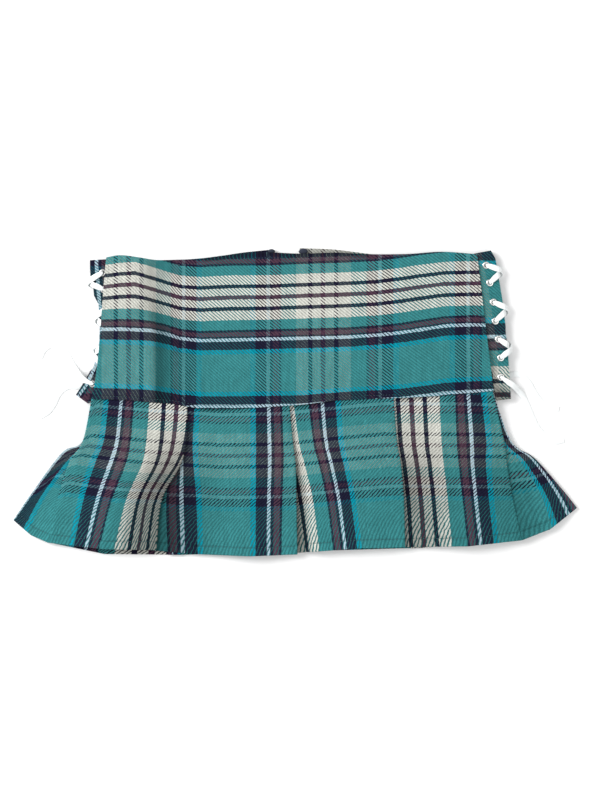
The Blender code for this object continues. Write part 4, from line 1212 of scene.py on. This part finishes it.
def build_stitches(name, paths, finish, pitch=3.3, length=2.3, radius=0.26):
    """Rows of small thread stitches lying along each path of board points."""
    points, faces = [], []
    sides = 6
    for path in paths:
        travelled, due = 0.0, 1.5
        for p, q in zip(path, path[1:]):
            step = math.dist(p, q)
            while step > 0 and due <= travelled + step:
                t = (due - travelled) / step
                centre = [p[k] + (q[k] - p[k]) * t for k in range(3)]
                along = unit3(tuple(q[k] - p[k] for k in range(3)))
                wide = unit3(cross3(along, (0, 0, 1)))
                up = unit3(cross3(wide, along))
                first = len(points)
                for s, r in ((-0.5, 0.25), (-0.36, 0.85), (0.0, 1.0), (0.36, 0.85), (0.5, 0.25)):
                    for n in range(sides):
                        turn = 2 * math.pi * n / sides
                        sink = -0.28 * abs(s) * 2
                        points.append(place(*[centre[k] + along[k] * s * length + (wide[k] * math.cos(turn) + up[k] * math.sin(turn)) * r * radius
                                              + (0, 0, sink)[k] for k in range(3)]))
                for ring in range(4):
                    for n in range(sides):
                        m = (n + 1) % sides
                        a = first + ring * sides
                        faces.append((a + n, a + m, a + sides + m, a + sides + n))
                faces.append(tuple(first + n for n in range(sides)))
                faces.append(tuple(first + 4 * sides + n for n in range(sides - 1, -1, -1)))
                due += pitch
            travelled += step
    return finish_mesh(name, points, faces, finish, sharp=70)


# ---------------------------------------------------------------- build
def show(piece, slot, *nodes):
    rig.ride(piece, "root")
    if nodes:
        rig.replaces(piece, *nodes)
    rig.slot(piece, slot)
    return piece


yoke_front, yoke_rows = build_front_yoke()
show(yoke_front, "yoke_cloth", "yoke_front")
yoke_left = show(build_back_yoke("yoke_back_left_cloth", BACK_YOKE_LEFT), "yoke_cloth", "yoke_back_left")
yoke_right = show(build_back_yoke("yoke_back_right_cloth", BACK_YOKE_RIGHT), "yoke_cloth", "yoke_back_right")

front_lines = LEFT_SIDE_LINES + FRONT_INNER_LINES + RIGHT_SIDE_LINES
flounce_front, front_grid, front_tags = build_flounce(
    "flounce_front_cloth", front_lines, FRONT_CREASES, lambda x: between(FLOUNCE_WEFT, x), 1.6, 13.6, 1.7, 0.24)
show(flounce_front, "flounce_cloth", "flounce_front")
back_lines = [back_side_line(line) for line in LEFT_SIDE_LINES] + back_inner_lines() + [
    back_side_line(line)._replace(seam_warp=line.seam_warp + 30, hem_warp=line.hem_warp + 30) for line in RIGHT_SIDE_LINES]
# painted shade: the back flounce's stripes are set so a navy band shows along its hem, under the front's hem
flounce_back, back_grid, back_tags = build_flounce(
    "flounce_back_cloth", back_lines, [], lambda x: 505.0, 0.56, 3.9, 5.3, 0.0)
show(flounce_back, "flounce_cloth", "flounce_back")



def right_strip_cloth(side, down):
    """Stripes run across the right strips."""
    return (101.6 + (292.0 - down) / 1.01, 24.0 + 0.8 * side)


def left_strip_cloth(side, down):
    """Stripes run along the left strips."""
    return (57.2 + side - 5.5, down - 215.0)


STRIP_CLOTH = {"left": left_strip_cloth, "right": right_strip_cloth}
strips = {}
eyelets = {}
laces = {}
for side, cells in (("left", LEFT_STRIP), ("right", RIGHT_STRIP)):
    for face, lift, turn in (("front", FRONT_STRIP_LIFT, 1), ("back", BACK_STRIP_LIFT, -1)):
        key = face + "_" + side
        strips[key] = show(build_strip("strip_" + key + "_cloth", cells, lift, STRIP_CLOTH[side], STRIP),
                           "strip_cloth", "strip_" + key)
        eyelets[key] = show(build_eyelets("eyelets_" + key, cells, lift, turn, METAL), "eyelet",
                            *[f"eyelet_{key}_{n}" for n in range(1, 8)])
    lace, path, length = build_lace("lace_" + side + "_ribbon", cells, TAILS[side + "_front"], TAILS[side + "_back"],
                                    RIBBON, side == "left")
    laces[side] = (show(lace, "lace", "lace_" + side), path, length)


def grid_path(grid, tags, names, from_hem, lift):
    """Board points over the named columns, a given distance above the hem."""
    path = []
    for j, tag in enumerate(tags):
        if tag in names:
            column = [grid[i][j] for i in range(len(grid))]
            left = from_hem
            for p, q in zip(column[::-1], column[::-1][1:]):
                step = math.dist(p, q)
                if step >= left:
                    t = left / step
                    path.append((p[0] + (q[0] - p[0]) * t, p[1] + (q[1] - p[1]) * t, p[2] + (q[2] - p[2]) * t + lift))
                    break
                left -= step
    return path


HEM_PANELS = [
    ("side_seam_left", "side_seam_left>", "flare_left", "flare_left>"),
    ("side_pleat_left_edge>", "panel_one_crown", "panel_one_crown>", "panel_one_right", "panel_one_right>"),
    ("panel_two_left", "panel_two_left>", "panel_two_crown", "panel_two_crown>"),
    ("panel_three_ridge", "panel_three_ridge>", "panel_three_crown", "panel_three_crown>"),
    ("panel_four_left", "panel_four_left>", "panel_four_crown", "panel_four_crown>"),
    ("flare_right", "flare_right>", "side_seam_right"),
]
hem_paths = [grid_path(front_grid, front_tags, names, 8.0, THIN) for names in HEM_PANELS]
hem_stitches = show(build_stitches("hem_stitches", hem_paths, THREAD), "flounce_cloth")
edge_paths = []
for edge, inset in (("pleat_one_edge", -2.2), ("pleat_two_edge", -2.2), ("pleat_three_edge", -2.2)):
    j = front_tags.index(edge)
    path = [(front_grid[i][j][0] + inset, front_grid[i][j][1], front_grid[i][j][2] + THIN) for i in range(len(front_grid))]
    edge_paths.append([p for p in path if 404 < p[1] < 452])
pleat_stitches = show(build_stitches("pleat_stitches", edge_paths, THREAD, 3.0, 2.1, 0.24), "flounce_cloth")
seam_rows = len(yoke_rows)
seam_path = [(p[0] + (q[0] - p[0]) * 0.25, p[1] + (q[1] - p[1]) * 0.25, p[2] + THIN)
             for p, q in zip(yoke_rows[-2], yoke_rows[-3])][3:-3]
top_path = [(p[0], p[1], p[2] + THIN) for p in yoke_rows[2]][3:-3]
side_path = [(row[-1][0] - 3.0, row[-1][1], row[-1][2] + THIN) for row in yoke_rows[2:-2]]
left_path = [(row[0][0] + 3.0, row[0][1], row[0][2] + THIN) for row in yoke_rows[2:-2]]
yoke_stitches = show(build_stitches("yoke_stitches", [seam_path, top_path, side_path, left_path], THREAD, 3.1, 2.2, 0.22), "yoke_cloth")

# Fastening ends inside the waist of the back, at its parting.
def build_knobs(name):
    points, faces = [], []
    for across, down, wide, deep in ((271.8, 251.0, 3.4, 2.0), (303.2, 251.2, 4.4, 3.0)):
        first = len(points)
        rings, turns = 8, 14
        for i in range(rings + 1):
            tilt = math.pi * i / rings
            for k in range(turns):
                turn = 2 * math.pi * k / turns
                r = math.sin(tilt)
                rough = 1.0 + 0.22 * softness(across + 9 * math.cos(turn), down + 9 * math.sin(turn) + 5 * i, 2.2, 5.0)
                points.append(place(across + wide * rough * r * math.cos(turn), down + deep * rough * r * math.sin(turn), 3.0 + 1.7 * math.cos(tilt)))
        for i in range(rings):
            for k in range(turns):
                n = (k + 1) % turns
                faces.append((first + i * turns + k, first + i * turns + n, first + (i + 1) * turns + n, first + (i + 1) * turns + k))
    return finish_mesh(name, points, faces, THREAD_DARK, sharp=80)


knobs = show(build_knobs("back_knots"), "yoke_cloth")

# ---------------------------------------------------------------- declared cloth and cords
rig.sheet(yoke_front, flat=(0.385, 0.150), held="laid", rests_on=[yoke_left, yoke_right], with_pieces=[yoke_stitches])
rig.sheet(yoke_left, flat=(0.178, 0.148), held="laid", with_pieces=[knobs])
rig.sheet(yoke_right, flat=(0.198, 0.146), held="laid")
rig.sheet(flounce_front, flat=(0.708, 0.155), held="laid", rests_on=[flounce_back], with_pieces=[hem_stitches, pleat_stitches])
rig.sheet(flounce_back, flat=(0.700, 0.155), held="laid")
for key, piece in strips.items():
    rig.sheet(piece, flat=(0.025, 0.148), held="laid", with_pieces=[eyelets[key]])
EXITS = {"right": (552.0, 452.0, 0.6), "left": (51.0, 435.0, 0.6)}
for side, (piece, path, length) in laces.items():
    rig.cord(piece, exit=tuple(place(*EXITS[side])), length=length, diameter=0.005, far_end="bare",
            stiffness="limp", lay="loose", path=path)

# ---------------------------------------------------------------- floor, light, camera
floor_mesh = bpy.data.meshes.new("floor")
floor_mesh.from_pydata([(-3, -3, -0.0002), (3, -3, -0.0002), (3, 3, -0.0002), (-3, 3, -0.0002)], [], [(0, 1, 2, 3)])
floor_mesh.materials.append(FLOOR)
floor = bpy.data.objects.new("floor", floor_mesh)
bpy.context.scene.collection.objects.link(floor)
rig.stage(floor)


def area_light(name, place_at, size, power, colour=(1, 1, 1)):
    data = bpy.data.lights.new(name, "AREA")
    data.shape = "DISK"
    data.size = size
    data.energy = power
    data.color = colour
    made = bpy.data.objects.new(name, data)
    made.location = place_at
    made.rotation_euler = (Vector((0, 0, 0)) - Vector(place_at)).to_track_quat("-Z", "Y").to_euler()
    bpy.context.scene.collection.objects.link(made)
    return made


area_light("key", (-2.0, 0.9, 1.5), 1.5, 78)
area_light("fill", (1.4, -0.6, 2.4), 2.6, 26)
world = bpy.data.worlds.new("studio")
world.use_nodes = True
world.node_tree.nodes["Background"].inputs["Color"].default_value = (1.0, 1.0, 1.0, 1.0)
world.node_tree.nodes["Background"].inputs["Strength"].default_value = 0.55
bpy.context.scene.world = world

lens = bpy.data.cameras.new("photo_camera")
lens.lens = 100
lens.sensor_width = 36
lens.clip_end = 20
camera = bpy.data.objects.new("photo_camera", lens)
camera.location = (*place(300, 400, 0).xy, 2.2272)
bpy.context.scene.collection.objects.link(camera)
bpy.context.scene.camera = camera
bpy.context.scene.view_settings.view_transform = "Standard"

low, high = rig.bounds()
with open("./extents.json", "w") as report:
    json.dump({"cad": [list(cad_low), list(cad_high)], "visual": [list(low), list(high)]}, report)
